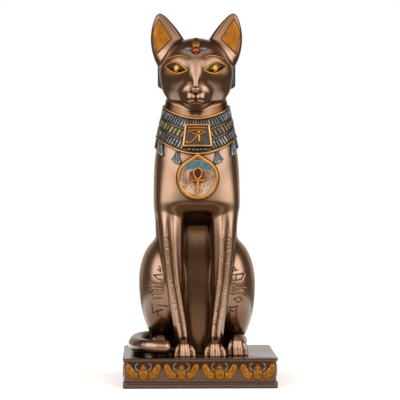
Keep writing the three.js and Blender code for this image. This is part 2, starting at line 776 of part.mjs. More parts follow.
// Framed plaque with an eye on it, leaning with the collar.
function plaque() {
  const { top, bottom, halfTop, halfBottom, wire } = PLAQUE;
  const half = (top - bottom) / 2;
  const outline = (inset) => corners([
    [-halfTop + inset, half - inset],
    [-halfBottom + inset, -half + inset],
    [halfBottom - inset, -half + inset],
    [halfTop - inset, half - inset],
  ]);
  const frame = new THREE.Shape(outline(0));
  frame.holes.push(new THREE.Path(outline(2 * wire).reverse()));
  const plate = new THREE.Shape(outline(wire));
  const eye = [
    corners([[-3.6, 3], [3.8, 3.6], [3.8, 4.4], [-3.6, 3.9]]),
    corners(almond(7.4, 3.2, 10).map(([x, z]) => [x + 0.4, z + 1])),
    corners([[1.4, 0], [2.4, 0], [2.2, -4], [1.4, -4]]),
    corners([[0.4, 0], [1.3, 0], [-2.6, -4.2], [-4.4, -4.2], [-4.4, -3.4]]),
  ].map((points) => [new THREE.Shape(points), 2, 0.8]);
  const high = collarPoint(0, () => top, COLLAR_RELIEF);
  const low = collarPoint(0, () => bottom, COLLAR_RELIEF);
  const tilt = Math.atan2(high.y - low.y, top - bottom);
  const middle = (top + bottom) / 2;
  return [[frame, 3, 1.1], [plate, 3, 0.4], ...eye].map(([shape, depth, out]) => {
    const form = extruded(shape, depth, 1).rotateX(Math.PI / 2).translate(0, depth - out, 0);
    return toSolid(form.rotateX(-tilt).translate(leanAt(middle), (high.y + low.y) / 2 - 0.2, middle));
  });
}

function skinSolid() {
  const xs = gridLines([
    { from: -45, to: -24, step: 5.3 },
    { to: 24, step: 4.4 },
    { to: 45, step: 5.3 },
  ]);
  const ys = gridLines([
    { from: -42, to: -14, step: 3.5 },
    { to: 42, step: 7 },
  ]);
  const zs = gridLines([
    { from: -3, to: 13, step: 8 },
    { to: 31, step: 3.6 },
    { to: 84, step: 10.6 },
    { to: 98, step: 5 },
    { to: 146, step: 9.6 },
    { to: 190, step: 4 },
  ]);
  const { vertices, faces } = skin(xs, ys, zs);
  const settled = settle(vertices, SKIN_REACH);
  const geometry = new THREE.BufferGeometry();
  geometry.setAttribute('position', new THREE.Float32BufferAttribute(settled.flat(), 3));
  geometry.setIndex(triangles(settled, faces).flat());
  return toSolid(geometry);
}

const bronze = new THREE.MeshStandardMaterial({ color: 0x8c6a4c, roughness: 0.32, metalness: 0.75 });
const darkBronze = new THREE.MeshStandardMaterial({ color: 0x5c4636, roughness: 0.4, metalness: 0.6 });

function seatedCat() {
  const above = toSolid(box(120, 120, 220, 0, 0, PLINTH_HEIGHT + 110));
  const forms = [ears, lappets, eyes, browJewel, muzzle, toes, collarBand, collarDrops, medallion, plaque];
  const solid = add(skinSolid(), forms.flatMap((form) => form())).intersect(above);
  const mesh = new THREE.Mesh(toGeometry(solid), bronze);
  mesh.name = 'seated_cat';
  return mesh;
}

function roundedSlab(inset, bottom, top) {
  const [w, d] = [PLINTH_WIDTH / 2 - inset, PLINTH_DEPTH / 2 - inset];
  const r = PLINTH_CORNER;
  const outline = new THREE.Shape();
  outline.moveTo(-w + r, -d);
  outline.lineTo(w - r, -d);
  outline.absarc(w - r, -d + r, r, -Math.PI / 2, 0, false);
  outline.lineTo(w, d - r);
  outline.absarc(w - r, d - r, r, 0, Math.PI / 2, false);
  outline.lineTo(-w + r, d);
  outline.absarc(-w + r, d - r, r, Math.PI / 2, Math.PI, false);
  outline.lineTo(-w, -d + r);
  outline.absarc(-w + r, -d + r, r, Math.PI, 1.5 * Math.PI, false);
  return toSolid(extruded(outline, top - bottom, 3).translate(0, 0, bottom));
}

// One scarab's outlines: body with its head, and two raised wings.
function scarabShapes() {
  const [w, h] = [SCARAB_BODY_WIDTH / 2, SCARAB_BODY_HEIGHT / 2];
  const right = [
    [0.3 * w, h + 2], [0.55 * w, h + 1], [0.5 * w, h], [w, 0.5 * h], [w, -0.4 * h], [0.5 * w, -h],
  ];
  const left = [...right].reverse().map(([x, z]) => [-x, z]);
  const body = new THREE.Shape(corners([...right, ...left].map(([x, z]) => [x, z - SCARAB_LOW])));
  const reach = SCARAB_SPAN / 2;
  const wings = [-1, 1].map((side) => {
    const wing = new THREE.Shape();
    wing.moveTo(side * 2.1, -0.6);
    wing.quadraticCurveTo(side * (reach - 3), -0.4, side * (reach - 1.6), 4);
    wing.quadraticCurveTo(side * (reach + 1.2), 1.2, side * (reach - 2.4), -2);
    wing.lineTo(side * 2.9, -4.2);
    return wing;
  });
  return [body, ...wings];
}

// A row of scarabs on each side of the plinth.
function frieze() {
  const middle = (LOWER_SLAB + PLINTH_HEIGHT - UPPER_SLAB) / 2 - 0.3;
  const shapes = scarabShapes();
  const sides = [
    { turn: 0, out: PLINTH_DEPTH / 2, count: 4, curve: 3 },
    { turn: Math.PI / 2, out: PLINTH_WIDTH / 2, count: 3, curve: 2 },
    { turn: Math.PI, out: PLINTH_DEPTH / 2, count: 4, curve: 2 },
    { turn: -Math.PI / 2, out: PLINTH_WIDTH / 2, count: 3, curve: 2 },
  ];
  return sides.flatMap(({ turn, out, count, curve }) => {
    const places = Array.from({ length: count }, (_, i) => (i - (count - 1) / 2) * SCARAB_PITCH);
    return places.flatMap((x) => shapes.map((shape) => {
      const form = extruded(shape, SCARAB_RELIEF + 1, curve).rotateX(Math.PI / 2);
      return toSolid(form.translate(x, -out + FRIEZE_INSET + 1, middle).rotateZ(turn));
    }));
  });
}

function plinth() {
  const slabs = [
    roundedSlab(0, 0, LOWER_SLAB),
    roundedSlab(FRIEZE_INSET, LOWER_SLAB - 1, PLINTH_HEIGHT - 1),
    roundedSlab(0, PLINTH_HEIGHT - UPPER_SLAB, PLINTH_HEIGHT),
  ];
  const solid = add(slabs[0], [...slabs.slice(1), ...frieze()]);
  const mesh = new THREE.Mesh(toGeometry(solid), darkBronze);
  mesh.name = 'plinth';
  return mesh;
}

const statue = new THREE.Group();
statue.add(seatedCat(), plinth());

export default statue;
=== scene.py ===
# A seated Bastet cat in cold-cast bronze, with a painted collar and medallion, on a scarab plinth.

import math

import bpy
import numpy as np
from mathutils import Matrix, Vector


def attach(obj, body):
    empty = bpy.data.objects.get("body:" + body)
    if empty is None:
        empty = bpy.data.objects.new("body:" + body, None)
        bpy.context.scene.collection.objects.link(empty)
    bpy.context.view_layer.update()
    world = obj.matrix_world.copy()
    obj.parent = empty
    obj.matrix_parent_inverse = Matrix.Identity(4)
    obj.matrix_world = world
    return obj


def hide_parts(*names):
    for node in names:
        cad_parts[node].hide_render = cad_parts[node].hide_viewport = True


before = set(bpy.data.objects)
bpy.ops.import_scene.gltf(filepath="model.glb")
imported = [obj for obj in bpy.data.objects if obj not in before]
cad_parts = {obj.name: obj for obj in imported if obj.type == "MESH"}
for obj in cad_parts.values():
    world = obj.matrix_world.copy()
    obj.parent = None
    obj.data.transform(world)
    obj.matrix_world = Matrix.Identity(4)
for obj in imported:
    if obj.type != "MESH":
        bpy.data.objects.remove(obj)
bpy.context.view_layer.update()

bl_info = {
    "name": "Bastet Statue",
    "version": (1, 0, 0),
    "blender": (4, 5, 0),
    "location": "View3D > Sidebar > Statue",
    "description": "Builds a seated Bastet cat with its collar and medallion on a scarab plinth",
    "category": "Object",
}

# Sizes are millimetres in the CAD's frame: +Z up, the cat faces -Y.
MM = 0.001

# Plinth.
PLINTH_WIDTH = 82.0
PLINTH_DEPTH = 70.0
PLINTH_HEIGHT = 16.0
UPPER_SLAB = 1.7
LOWER_SLAB = 3.3
FRIEZE_INSET = 0.8
PLINTH_CORNER = 2.2
SCARAB_PITCH = 20.1

# Outline of a scarab's wing, and the middle that it is seen from.
WING = np.array([
    (6.9, 4.6), (6.0, 2.9), (4.8, 1.1), (2.9, -0.2), (2.6, -2.6), (4.4, -4.0), (7.2, -2.6), (9.1, 1.2), (8.6, 4.2),
])
WING_MIDDLE = np.array((6.1, -0.8))

# Trunk stations: height, half width, front and back of the section.
TRUNK = np.array([
    (8, 21, -9, 25), (30, 22.5, -10.5, 28.5), (52, 22.5, -11, 29.5), (70, 22.1, -10.4, 27.5),
    (82, 22.3, -11.8, 24.7), (86, 22.4, -14.0, 23.8), (89.5, 22.6, -19.4, 22.9), (93, 22.7, -24.4, 22.2),
    (96.5, 22.9, -26.7, 21.4), (99.5, 22.9, -27.1, 20.9), (114, 23, -26.2, 17.4), (125, 22, -24.2, 15),
    (137, 19.8, -20.8, 12.5), (148, 17.3, -17.0, 10.5), (153, 16.4, -14.2, 10.2), (160, 13.5, -10.5, 9),
], float)
TRUNK_TOP = 160.0
TRUNK_ROUNDNESS = 2.25
LEAN = 1.5
LEAN_HEIGHT = 45.0
HAUNCH_CENTRE = (18.2, 3.5, 54.0)
HAUNCH_RADII = (13.4, 23.5, 24.2)
HAUNCH_LOWER = 35.0

# Foreleg: height, middle, front and radius of its section.
FORELEG = np.array([
    (17, 8.6, -19.5, 4.4), (24, 9.0, -21.6, 4.0), (30, 9.6, -23.0, 3.9), (47, 11.7, -24.1, 4.5),
    (66, 13.2, -24.4, 5.8), (84, 13.9, -24.2, 7.2), (96, 13.8, -23.2, 7.9), (106, 13.0, -21.2, 7.8),
    (118, 11.5, -16.5, 6.5),
])
LEG_BLEND = 2.0
SHOULDER_BLEND = 5.0

# The two ridges down the front of a foreleg: height, their middle and half their pitch.
RIDGES = np.array([
    (18, 8.3, 1.55), (30, 9.1, 1.55), (43.5, 11.1, 1.6), (58, 13.5, 1.75), (74, 14.9, 2.05), (86, 15.2, 2.3),
    (99, 15.2, 2.7), (112, 15.2, 3.0),
])
RIDGE_RISE = 1.0
RIDGE_FLANK = 1.5
RIDGE_START = 97.0
RIDGE_FULL = 78.0
RIDGE_FRONT = (-17.5, -20.5)
LEG_WEB_DEPTH = 2.6
FORE_PAW = {"x": 8.0, "front": -29.6, "half": 6.5, "high": 9.6, "long": 12.0}
HIND_PAW = {"x": 20.2, "front": -25.6, "half": 6.2, "high": 11.6, "long": 13.0}
HIND_FOOT = ((20.4, -16, 20), (22, 14, 20), 4.6, 5.4)
TOE_COUNT = 4
TOE_ANGLES = (4, 26, 48, 68, 86)

# Head, in its own frame, which is turned a little about the neck.
HEAD_PIVOT = np.array((0.0, -6.0, 160.0))
HEAD_TURN = -0.045
SKULL = ((0, -6.4, 168.6), (18.5, 17.2, 17.6))
JAW = ((0, -7.4, 161.5), (18.2, 15.4, 15.0))
MUZZLE = ((2.2, -20.5, 153.4), (4.2, 7.0, 5.2))
BRIDGE = ((0, -21.5, 173.0), (0, -26.2, 160.0), 0.95, 1.45)
NOSE = ((0, -27.3, 157.6), (2.5, 2.0, 1.7))
EYE_MOUND = ((10.2, -17.4, 168.0), (8.6, 4.8, 7.0))
EYE_MOUND_SLOPE = 0.6
NOSE_VALLEY = ((3.2, -26.4, 172.0), (4.2, -26.6, 163.0), 1.3, 1.6)
EYE_PLACE = (10.6, 169.1)
EYE_LENGTH = 13.2
EYE_HEIGHT = 6.0
EYE_TILT = 0.22
BROW_LINE = np.array([(17.6, 171.6), (15.6, 174.0), (12.4, 175.4), (9.2, 175.9), (6.4, 175.6), (3.6, 174.4)])
BEAD_HEIGHT = 178.2
WING_HEIGHT = 179.4

# Ears: the outer edge is an arc, the inner edge bows a little.
EAR_TIP = 200.0
EAR_BASE = 170.0
EAR_ARC_CENTRE = (-5.8, 186.0)
EAR_ARC_RADIUS = 30.6
EAR_INNER_FOOT = (8.4, 188.3)
EAR_INNER_SLOPE = 0.66
EAR_INNER_BOW = 0.0175
EAR_TIP_ROUND = 2.2
EAR_DEPTH = 8.2
EAR_CENTRE_Y = -2.5
EAR_SWEEP = 2.5
EAR_TIP_RADIUS = 1.1
EAR_ROUNDNESS = 2.3
EAR_RIB_PITCH = 0.95
EAR_FOLD = np.array([(18.2, 198.4), (15.4, 194.4), (12.4, 190.0), (9.4, 185.9)])
EAR_PANEL = np.array([(20.3, 196.8), (13.5, 185.8), (21.4, 177.4), (23.8, 188.0)])

# Collar.
COLLAR_TOP_BACK = 150.4
COLLAR_TOP_DROP = 7.8
COLLAR_LOW_BACK = 135.5
COLLAR_LOW_DROP = 11.7
COLLAR_POWER = 2.9
ROWS = ((0.035, 0.325), (0.365, 0.63), (0.67, 0.965))
BEAD_SEED = 7
THIN_BEAD_HALF = 0.62
WIDE_BEAD_HALF = 1.0
PLAQUE_REACH = 0.36

# Medallion and plaque.
MEDALLION = {"top": 123.8, "middle": 110.8, "radius": 11.1, "rim": 1.9}
PLAQUE = {"top": 139.4, "bottom": 127.8, "half_top": 6.4, "half_bottom": 7.8}

# Tail: place of its middle line from the rump to the front corner.
TAIL = np.array([
    (4, 26, 22.5), (-12, 29.8, 21.3), (-25, 26.4, 20.6), (-32.4, 16, 20.6), (-34, 2, 20.8),
    (-33.8, -10, 21), (-30.6, -20, 21.2), (-24.4, -25.6, 21.2), (-18.8, -26.8, 21),
], float)
TAIL_ROOT_RADIUS = 4.9
TAIL_TIP_RADIUS = 3.5

NECK_CUT = 139.0


# Form of the cat: distances to its surface, below zero inside.

def soft_union(a, b, k):
    h = np.maximum(k - np.abs(a - b), 0.0) / k
    return np.minimum(a, b) - h * h * k * 0.25


def soft_cut(a, b, k):
    return -soft_union(-a, b, k)


def ellipsoid(x, y, z, centre, radii):
    u = (x - centre[0]) / radii[0]
    v = (y - centre[1]) / radii[1]
    w = (z - centre[2]) / radii[2]
    near = np.sqrt(u * u + v * v + w * w)
    slope = np.sqrt((u / radii[0]) ** 2 + (v / radii[1]) ** 2 + (w / radii[2]) ** 2)
    return near * (near - 1.0) / np.maximum(slope, 1e-9)


def limb(x, y, z, a, b, ra, rb):
    ax, ay, az = b[0] - a[0], b[1] - a[1], b[2] - a[2]
    t = ((x - a[0]) * ax + (y - a[1]) * ay + (z - a[2]) * az) / (ax * ax + ay * ay + az * az)
    t = np.clip(t, 0.0, 1.0)
    gap = np.sqrt((x - a[0] - t * ax) ** 2 + (y - a[1] - t * ay) ** 2 + (z - a[2] - t * az) ** 2)
    return gap - (ra + (rb - ra) * t)


def lean(z):
    return -LEAN * (1.0 - np.exp(-np.maximum(z - PLINTH_HEIGHT, 0.0) / LEAN_HEIGHT))


def eased(table, z, column):
    """A smooth curve through one column of a table whose first column is the height."""
    knots = table[:, 0]
    i = np.clip(np.searchsorted(knots, z, side="left") - 1, 0, len(knots) - 2)
    before = np.maximum(i - 1, 0)
    after = np.minimum(i + 2, len(knots) - 1)
    span = knots[i + 1] - knots[i]
    t = np.clip((z - knots[i]) / span, 0.0, 1.0)
    v = table[:, column]
    m0 = (v[i + 1] - v[before]) / (knots[i + 1] - knots[before]) * span
    m1 = (v[after] - v[i]) / (knots[after] - knots[i]) * span
    a = (2 * t ** 3 - 3 * t ** 2 + 1) * v[i] + (t ** 3 - 2 * t ** 2 + t) * m0
    return a + (3 * t ** 2 - 2 * t ** 3) * v[i + 1] + (t ** 3 - t ** 2) * m1


def ramp(value, low, high):
    """A smooth step from 0 at low to 1 at high."""
    t = np.clip((value - low) / (high - low), 0.0, 1.0)
    return t * t * (3 - 2 * t)


def trunk_section(z):
    """Half width, middle and half depth of the trunk at each height."""
    front, back = eased(TRUNK, z, 2), eased(TRUNK, z, 3)
    return eased(TRUNK, z, 1), (front + back) / 2, (back - front) / 2


def trunk(ax, y, z):
    half, middle, deep = trunk_section(z)
    n = TRUNK_ROUNDNESS
    q = ((ax / half) ** n + (np.abs(y - middle) / deep) ** n) ** (1 / n)
    return np.maximum((q - 1.0) * np.minimum(half, deep), z - TRUNK_TOP)


def haunch(ax, y, z):
    upper = ellipsoid(ax, y, z, HAUNCH_CENTRE, HAUNCH_RADII)
    lower = ellipsoid(ax, y, z, HAUNCH_CENTRE, (HAUNCH_RADII[0], HAUNCH_RADII[1], HAUNCH_LOWER))
    return np.where(z < HAUNCH_CENTRE[2], lower, upper)


def ridges(ax, y, z):
    """How far a place is from the middle of a leg's two ridges, and how strong they are."""
    across = np.abs(ax - eased(RIDGES, z, 1)) / eased(RIDGES, z, 2)
    return across, ramp(z, RIDGE_START, RIDGE_FULL) * ramp(y, *RIDGE_FRONT)


def ridge_bump(across):
    return np.where(across < 1, 0.5 - 0.5 * np.cos(math.pi * across),
                    0.5 + 0.5 * np.cos(math.pi * np.clip((across - 1) / RIDGE_FLANK, 0, 1)))


def foreleg(ax, y, z):
    radius = eased(FORELEG, z, 3)
    across, along = ax - eased(FORELEG, z, 1), y - eased(FORELEG, z, 2) - radius
    along = np.where(along < 0, along, along / LEG_WEB_DEPTH)
    leg = np.hypot(across, along) - radius
    leg = np.maximum(leg, np.maximum(z - FORELEG[-1, 0], FORELEG[0, 0] - z))
    across, strength = ridges(ax, y, z)
    return leg - RIDGE_RISE * ridge_bump(across) * strength


def paw(ax, y, z, p):
    """The paw's body with its long toes, which run over its dome."""
    pitch = 2 * p["half"] / (TOE_COUNT + 0.3)
    thick = pitch * 0.51
    f = ellipsoid(ax, y, z, (p["x"], p["front"] + p["long"] * 0.52, PLINTH_HEIGHT + 0.5),
                  (p["half"] - 1.3, p["long"] * 0.52 - 1.5, p["high"] - 1.7))
    for i in range(TOE_COUNT):
        off = (i - (TOE_COUNT - 1) / 2) * pitch
        long = p["long"] * 0.55 - thick - 0.09 * off * off
        high = p["high"] - thick - 0.11 * off * off
        path = []
        for a in TOE_ANGLES:
            rise = math.sin(math.radians(a))
            path.append((p["x"] + off * (1 - 0.45 * rise ** 3),
                         p["front"] + p["long"] * 0.55 - long * math.cos(math.radians(a)),
                         PLINTH_HEIGHT + high * rise))
        for k, (a, b) in enumerate(zip(path, path[1:])):
            toe = limb(ax, y, z, a, b, thick * (1 - 0.07 * k), thick * (1 - 0.07 * (k + 1)))
            f = np.minimum(f, toe) if k else soft_union(f, toe, 0.35)
    return f


def smooth_line(points, steps):
    """A Catmull-Rom line through the points, with steps pieces between each two."""
    p = np.vstack([2 * points[0] - points[1], points, 2 * points[-1] - points[-2]])
    out = []
    for i in range(1, len(p) - 2):
        for t in np.linspace(0, 1, steps, endpoint=False):
            a, b, c, d = p[i - 1], p[i], p[i + 1], p[i + 2]
            out.append(0.5 * (2 * b + (c - a) * t + (2 * a - 5 * b + 4 * c - d) * t ** 2
                              + (3 * b - a - 3 * c + d) * t ** 3))
    out.append(p[-2])
    return np.array(out)


TAIL_LINE = smooth_line(TAIL, 3)


def tail(x, y, z):
    f = np.full_like(x, 1e3)
    radii = np.linspace(TAIL_ROOT_RADIUS, TAIL_TIP_RADIUS, len(TAIL_LINE))
    for i in range(len(TAIL_LINE) - 1):
        f = np.minimum(f, limb(x, y, z, TAIL_LINE[i], TAIL_LINE[i + 1], radii[i], radii[i + 1]))
    return f


def to_head(x, y):
    """From the cat's frame, its lean taken out, to the head's."""
    dx, dy = x - HEAD_PIVOT[0], y - HEAD_PIVOT[1]
    cos, sin = math.cos(HEAD_TURN), math.sin(HEAD_TURN)
    return HEAD_PIVOT[0] + dx * cos + dy * sin, HEAD_PIVOT[1] - dx * sin + dy * cos


def from_head(points):
    """From the head's frame to the cat's."""
    cos, sin = math.cos(HEAD_TURN), math.sin(HEAD_TURN)
    d = points - HEAD_PIVOT
    out = points.copy()
    out[:, 0] = HEAD_PIVOT[0] + d[:, 0] * cos - d[:, 1] * sin + lean(EYE_PLACE[1])
    out[:, 1] = HEAD_PIVOT[1] + d[:, 0] * sin + d[:, 1] * cos
    return out


def ear_section(z):
    """Middle, half width, centre and half depth of the ear at each height."""
    t = np.clip((z - EAR_BASE) / (EAR_TIP - EAR_BASE), 0.0, 1.0)
    arc = np.sqrt(np.maximum(EAR_ARC_RADIUS ** 2 - (z - EAR_ARC_CENTRE[1]) ** 2, 0.0))
    outer = EAR_ARC_CENTRE[0] + arc
    up = z - EAR_INNER_FOOT[1]
    inner = EAR_INNER_FOOT[0] + up * (EAR_INNER_SLOPE + EAR_INNER_BOW * np.maximum(up, -12))
    top = np.clip((EAR_TIP + 0.1 - z) / EAR_TIP_ROUND, 0.0, 1.0)
    half = (outer - inner) / 2 * np.sqrt(np.maximum(1 - (1 - top) ** 2, 1e-4))
    deep = EAR_DEPTH + (EAR_TIP_RADIUS - EAR_DEPTH) * t ** 1.2
    return (outer + inner) / 2, half, EAR_CENTRE_Y + EAR_SWEEP * t, deep


def ear_form(ax, y, z):
    middle, half, centre, deep = ear_section(z)
    n = EAR_ROUNDNESS
    q = (np.abs((ax - middle) / half) ** n + np.abs((y - centre) / deep) ** n) ** (1 / n)
    f = (q - 1.0) * np.minimum(half, deep)
    return np.maximum(np.maximum(f, z - EAR_TIP + 0.2), EAR_BASE - z)


def head_form(x, y, z):
    """The head with its ears, in its own frame."""
    ax = np.abs(x)
    f = soft_union(ellipsoid(ax, y, z, *SKULL), ellipsoid(ax, y, z, *JAW), 6)
    tilted = y - EYE_MOUND_SLOPE * (ax - EYE_MOUND[0][0])
    f = soft_union(f, ellipsoid(ax, tilted, z, *EYE_MOUND), 4)
    f = soft_cut(f, limb(ax, y, z, *NOSE_VALLEY), 2.5)
    f = soft_union(f, ellipsoid(ax, y, z, *MUZZLE), 4.8)
    f = soft_union(f, limb(ax, y, z, *BRIDGE), 2.2)
    f = soft_union(f, ellipsoid(ax, y, z, *NOSE), 1.3)
    return soft_union(f, ear_form(ax, y, z), 2.2)


def upper_cat(x0, y, z):
    """The head and neck, down to the cut that the collar hides."""
    x = x0 - lean(z)
    f = soft_union(trunk(np.abs(x), y, z), head_form(*to_head(x, y), z), 1.2)
    return np.maximum(f, NECK_CUT - 0.6 - z)


def lower_cat(x0, y, z):
    """The body below the collar."""
    x = x0 - lean(z)
    ax = np.abs(x)
    f = soft_union(trunk(ax, y, z), haunch(ax, y, z), 2.4)
    blend = LEG_BLEND + (SHOULDER_BLEND - LEG_BLEND) * ramp(z, 74, 98)
    f = soft_union(f, foreleg(ax, y, z), blend)
    f = soft_union(f, limb(ax, y, z, *HIND_FOOT), 1.6)
    low = z < 34
    if low.any():
        part = f[low]
        px, pax, py, pz = x0[low], ax[low], y[low], z[low]
        part = soft_union(part, paw(pax, py, pz, FORE_PAW), 0.8)
        part = soft_union(part, paw(pax, py, pz, HIND_PAW), 0.8)
        f[low] = soft_union(part, tail(px, py, pz), 0.5)
    return np.maximum(np.maximum(f, z - NECK_CUT - 0.6), PLINTH_HEIGHT - 0.1 - z)


def gradient(field, p, e=0.03):
    x, y, z = p.T
    return np.stack([
        field(x + e, y, z) - field(x - e, y, z),
        field(x, y + e, z) - field(x, y - e, z),
        field(x, y, z + e) - field(x, y, z - e),
    ], axis=1) / (2 * e)


def settle(points, field, rounds=5):
    """Draws points onto a surface, in short steps."""
    p = points.copy()
    for _ in range(rounds):
        g = gradient(field, p)
        steep = np.maximum((g * g).sum(axis=1), 0.3)
        step = field(*p.T) / steep
        p -= np.clip(step[:, None] * g, -0.7, 0.7)
    return p


def front_of(field, x, z, start=-45.0):
    """The y of a surface's front at places on its elevation."""
    x, z = np.asarray(x, float), np.asarray(z, float)
    y = np.full(x.shape, start)
    for _ in range(90):
        y = np.where(field(x, y, z) > 0, y + 0.5, y)
    low, high = y - 0.5, y
    for _ in range(12):
        half = (low + high) / 2
        outside = field(x, half, z) > 0
        low, high = np.where(outside, half, low), np.where(outside, high, half)
    return low


# Work on meshes, by operators.

def pick(obj):
    bpy.ops.object.select_all(action="DESELECT")
    obj.select_set(True)
    bpy.context.view_layer.objects.active = obj


def read(obj):
    """A mesh's vertices, in millimetres."""
    flat = np.empty(len(obj.data.vertices) * 3, np.float32)
    obj.data.vertices.foreach_get("co", flat)
    return flat.reshape(-1, 3).astype(float) / MM


def write(obj, points):
    """Puts a mesh's vertices at these places, in millimetres."""
    obj.data.vertices.foreach_set("co", (points * MM).astype(np.float32).ravel())
    obj.data.update()


def note(obj, name, values):
    """Keeps one number for each vertex, for the materials to read."""
    layer = obj.data.attributes.get(name) or obj.data.attributes.new(name, "FLOAT", "POINT")
    layer.data.foreach_set("value", np.asarray(values, np.float32))


def globe(segments, rings):
    """A sphere of one millimetre, to be shaped."""
    bpy.ops.object.select_all(action="DESELECT")
    bpy.ops.mesh.primitive_uv_sphere_add(segments=segments, ring_count=rings, radius=MM)
    return bpy.context.active_object


def merge(pieces, name):
    """Joins pieces into the first one."""
    pick(pieces[0])
    for piece in pieces[1:]:
        piece.select_set(True)
    if len(pieces) > 1:
        bpy.ops.object.join()
    pieces[0].name = name
    pieces[0].data.name = name
    return pieces[0]


def apply(obj, kind, **settings):
    """Adds a modifier and applies it."""
    pick(obj)
    bpy.ops.object.modifier_add(type=kind)
    modifier = obj.modifiers[-1]
    for key, value in settings.items():
        setattr(modifier, key, value)
    bpy.ops.object.modifier_apply(modifier=modifier.name)
    return obj


def clean_shell(obj):
    """Merges doubles and turns the faces outwards."""
    pick(obj)
    bpy.ops.object.mode_set(mode="EDIT")
    bpy.ops.mesh.select_all(action="SELECT")
    bpy.ops.mesh.remove_doubles(threshold=1e-6)
    bpy.ops.mesh.normals_make_consistent(inside=False)
    bpy.ops.object.mode_set(mode="OBJECT")
    return obj


def wire(points, radii, closed=False, rounding=3):
    """A round bar along points, as a curve with a bevel turned into a mesh."""
    bpy.ops.object.select_all(action="DESELECT")
    bpy.ops.curve.primitive_bezier_curve_add()
    obj = bpy.context.active_object
    curve = obj.data
    curve.splines.clear()
    spline = curve.splines.new("POLY")
    spline.points.add(len(points) - 1)
    radii = np.broadcast_to(radii, len(points))
    for point, place, radius in zip(spline.points, points, radii):
        point.co = (*(np.asarray(place) * MM), 1.0)
        point.radius = radius
    spline.use_cyclic_u = closed
    curve.dimensions = "3D"
    curve.bevel_depth = MM
    curve.bevel_resolution = rounding
    curve.use_fill_caps = not closed
    bpy.ops.object.convert(target="MESH")
    obj = bpy.context.active_object
    return clean_shell(obj)


def shade(obj, degrees=None):
    pick(obj)
    if degrees is None:
        bpy.ops.object.shade_smooth()
    else:
        bpy.ops.object.shade_smooth_by_angle(angle=math.radians(degrees))


def hand_over(obj, material, degrees=None, stands_for=()):
    """Finishes a piece: its shading, material and body."""
    shade(obj, degrees)
    obj.data.materials.clear()
    obj.data.materials.append(material)
    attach(obj, "root")
    if stands_for:
        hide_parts(*stands_for)
    return obj


# Materials.

def value_of(colour):
    return (*colour[:3], 1.0)


class Finish:
    """A node material, built step by step."""

    def __init__(self, name, **sockets):
        self.material = bpy.data.materials.new(name)
        self.material.use_nodes = True
        self.tree = self.material.node_tree
        self.shader = self.tree.nodes["Principled BSDF"]
        for key, value in sockets.items():
            self.shader.inputs[key.replace("_", " ")].default_value = value

    def node(self, kind, *links, **settings):
        made = self.tree.nodes.new(kind)
        for key, value in settings.items():
            if key in made.inputs:
                made.inputs[key].default_value = value
            else:
                setattr(made, key, value)
        for i, link in enumerate(links):
            if link is not None:
                self.feed(made.inputs[i], link)
        return made

    def feed(self, socket, source):
        if isinstance(source, (int, float)):
            socket.default_value = source
        elif isinstance(source, tuple):
            socket.default_value = source
        else:
            self.tree.links.new(source, socket)

    def place(self):
        return self.node("ShaderNodeTexCoord").outputs["Object"]

    def noted(self, name):
        return self.node("ShaderNodeAttribute", attribute_name=name).outputs["Fac"]

    def maths(self, operation, a, b=0.0, clamp=False):
        made = self.node("ShaderNodeMath", a, b, operation=operation)
        made.use_clamp = clamp
        return made.outputs[0]

    def grain(self, scale, detail=3.0, rough=0.5, stretch=(1, 1, 1)):
        mapping = self.node("ShaderNodeMapping", self.place())
        mapping.inputs["Scale"].default_value = stretch
        made = self.node("ShaderNodeTexNoise", mapping.outputs[0])
        made.inputs["Scale"].default_value = scale
        made.inputs["Detail"].default_value = detail
        made.inputs["Roughness"].default_value = rough
        return made.outputs["Fac"]

    def step(self, source, low, high, out_low=0.0, out_high=1.0):
        made = self.node("ShaderNodeMapRange", source)
        made.interpolation_type = "SMOOTHSTEP"
        for key, value in (("From Min", low), ("From Max", high), ("To Min", out_low), ("To Max", out_high)):
            made.inputs[key].default_value = value
        return made.outputs["Result"]

    def mix(self, share, a, b):
        made = self.tree.nodes.new("ShaderNodeMix")
        made.data_type = "RGBA"
        self.feed(made.inputs["Factor"], share)
        for name, source in (("A", a), ("B", b)):
            socket = [s for s in made.inputs if s.name == name and s.type == "RGBA"][0]
            self.feed(socket, source)
        return [s for s in made.outputs if s.type == "RGBA"][0]

    def crevice(self, reach):
        """How open the surface is around a point, 1 where nothing is near."""
        made = self.tree.nodes.new("ShaderNodeAmbientOcclusion")
        made.samples = 6
        made.inputs["Distance"].default_value = reach * MM
        return made.outputs["AO"]

    def bump(self, height, strength, depth):
        made = self.tree.nodes.new("ShaderNodeBump")
        made.inputs["Strength"].default_value = strength
        made.inputs["Distance"].default_value = depth * MM
        self.feed(made.inputs["Height"], height)
        self.tree.links.new(made.outputs["Normal"], self.shader.inputs["Normal"])

    def set(self, name, source):
        self.feed(self.shader.inputs[name], source)
        return self


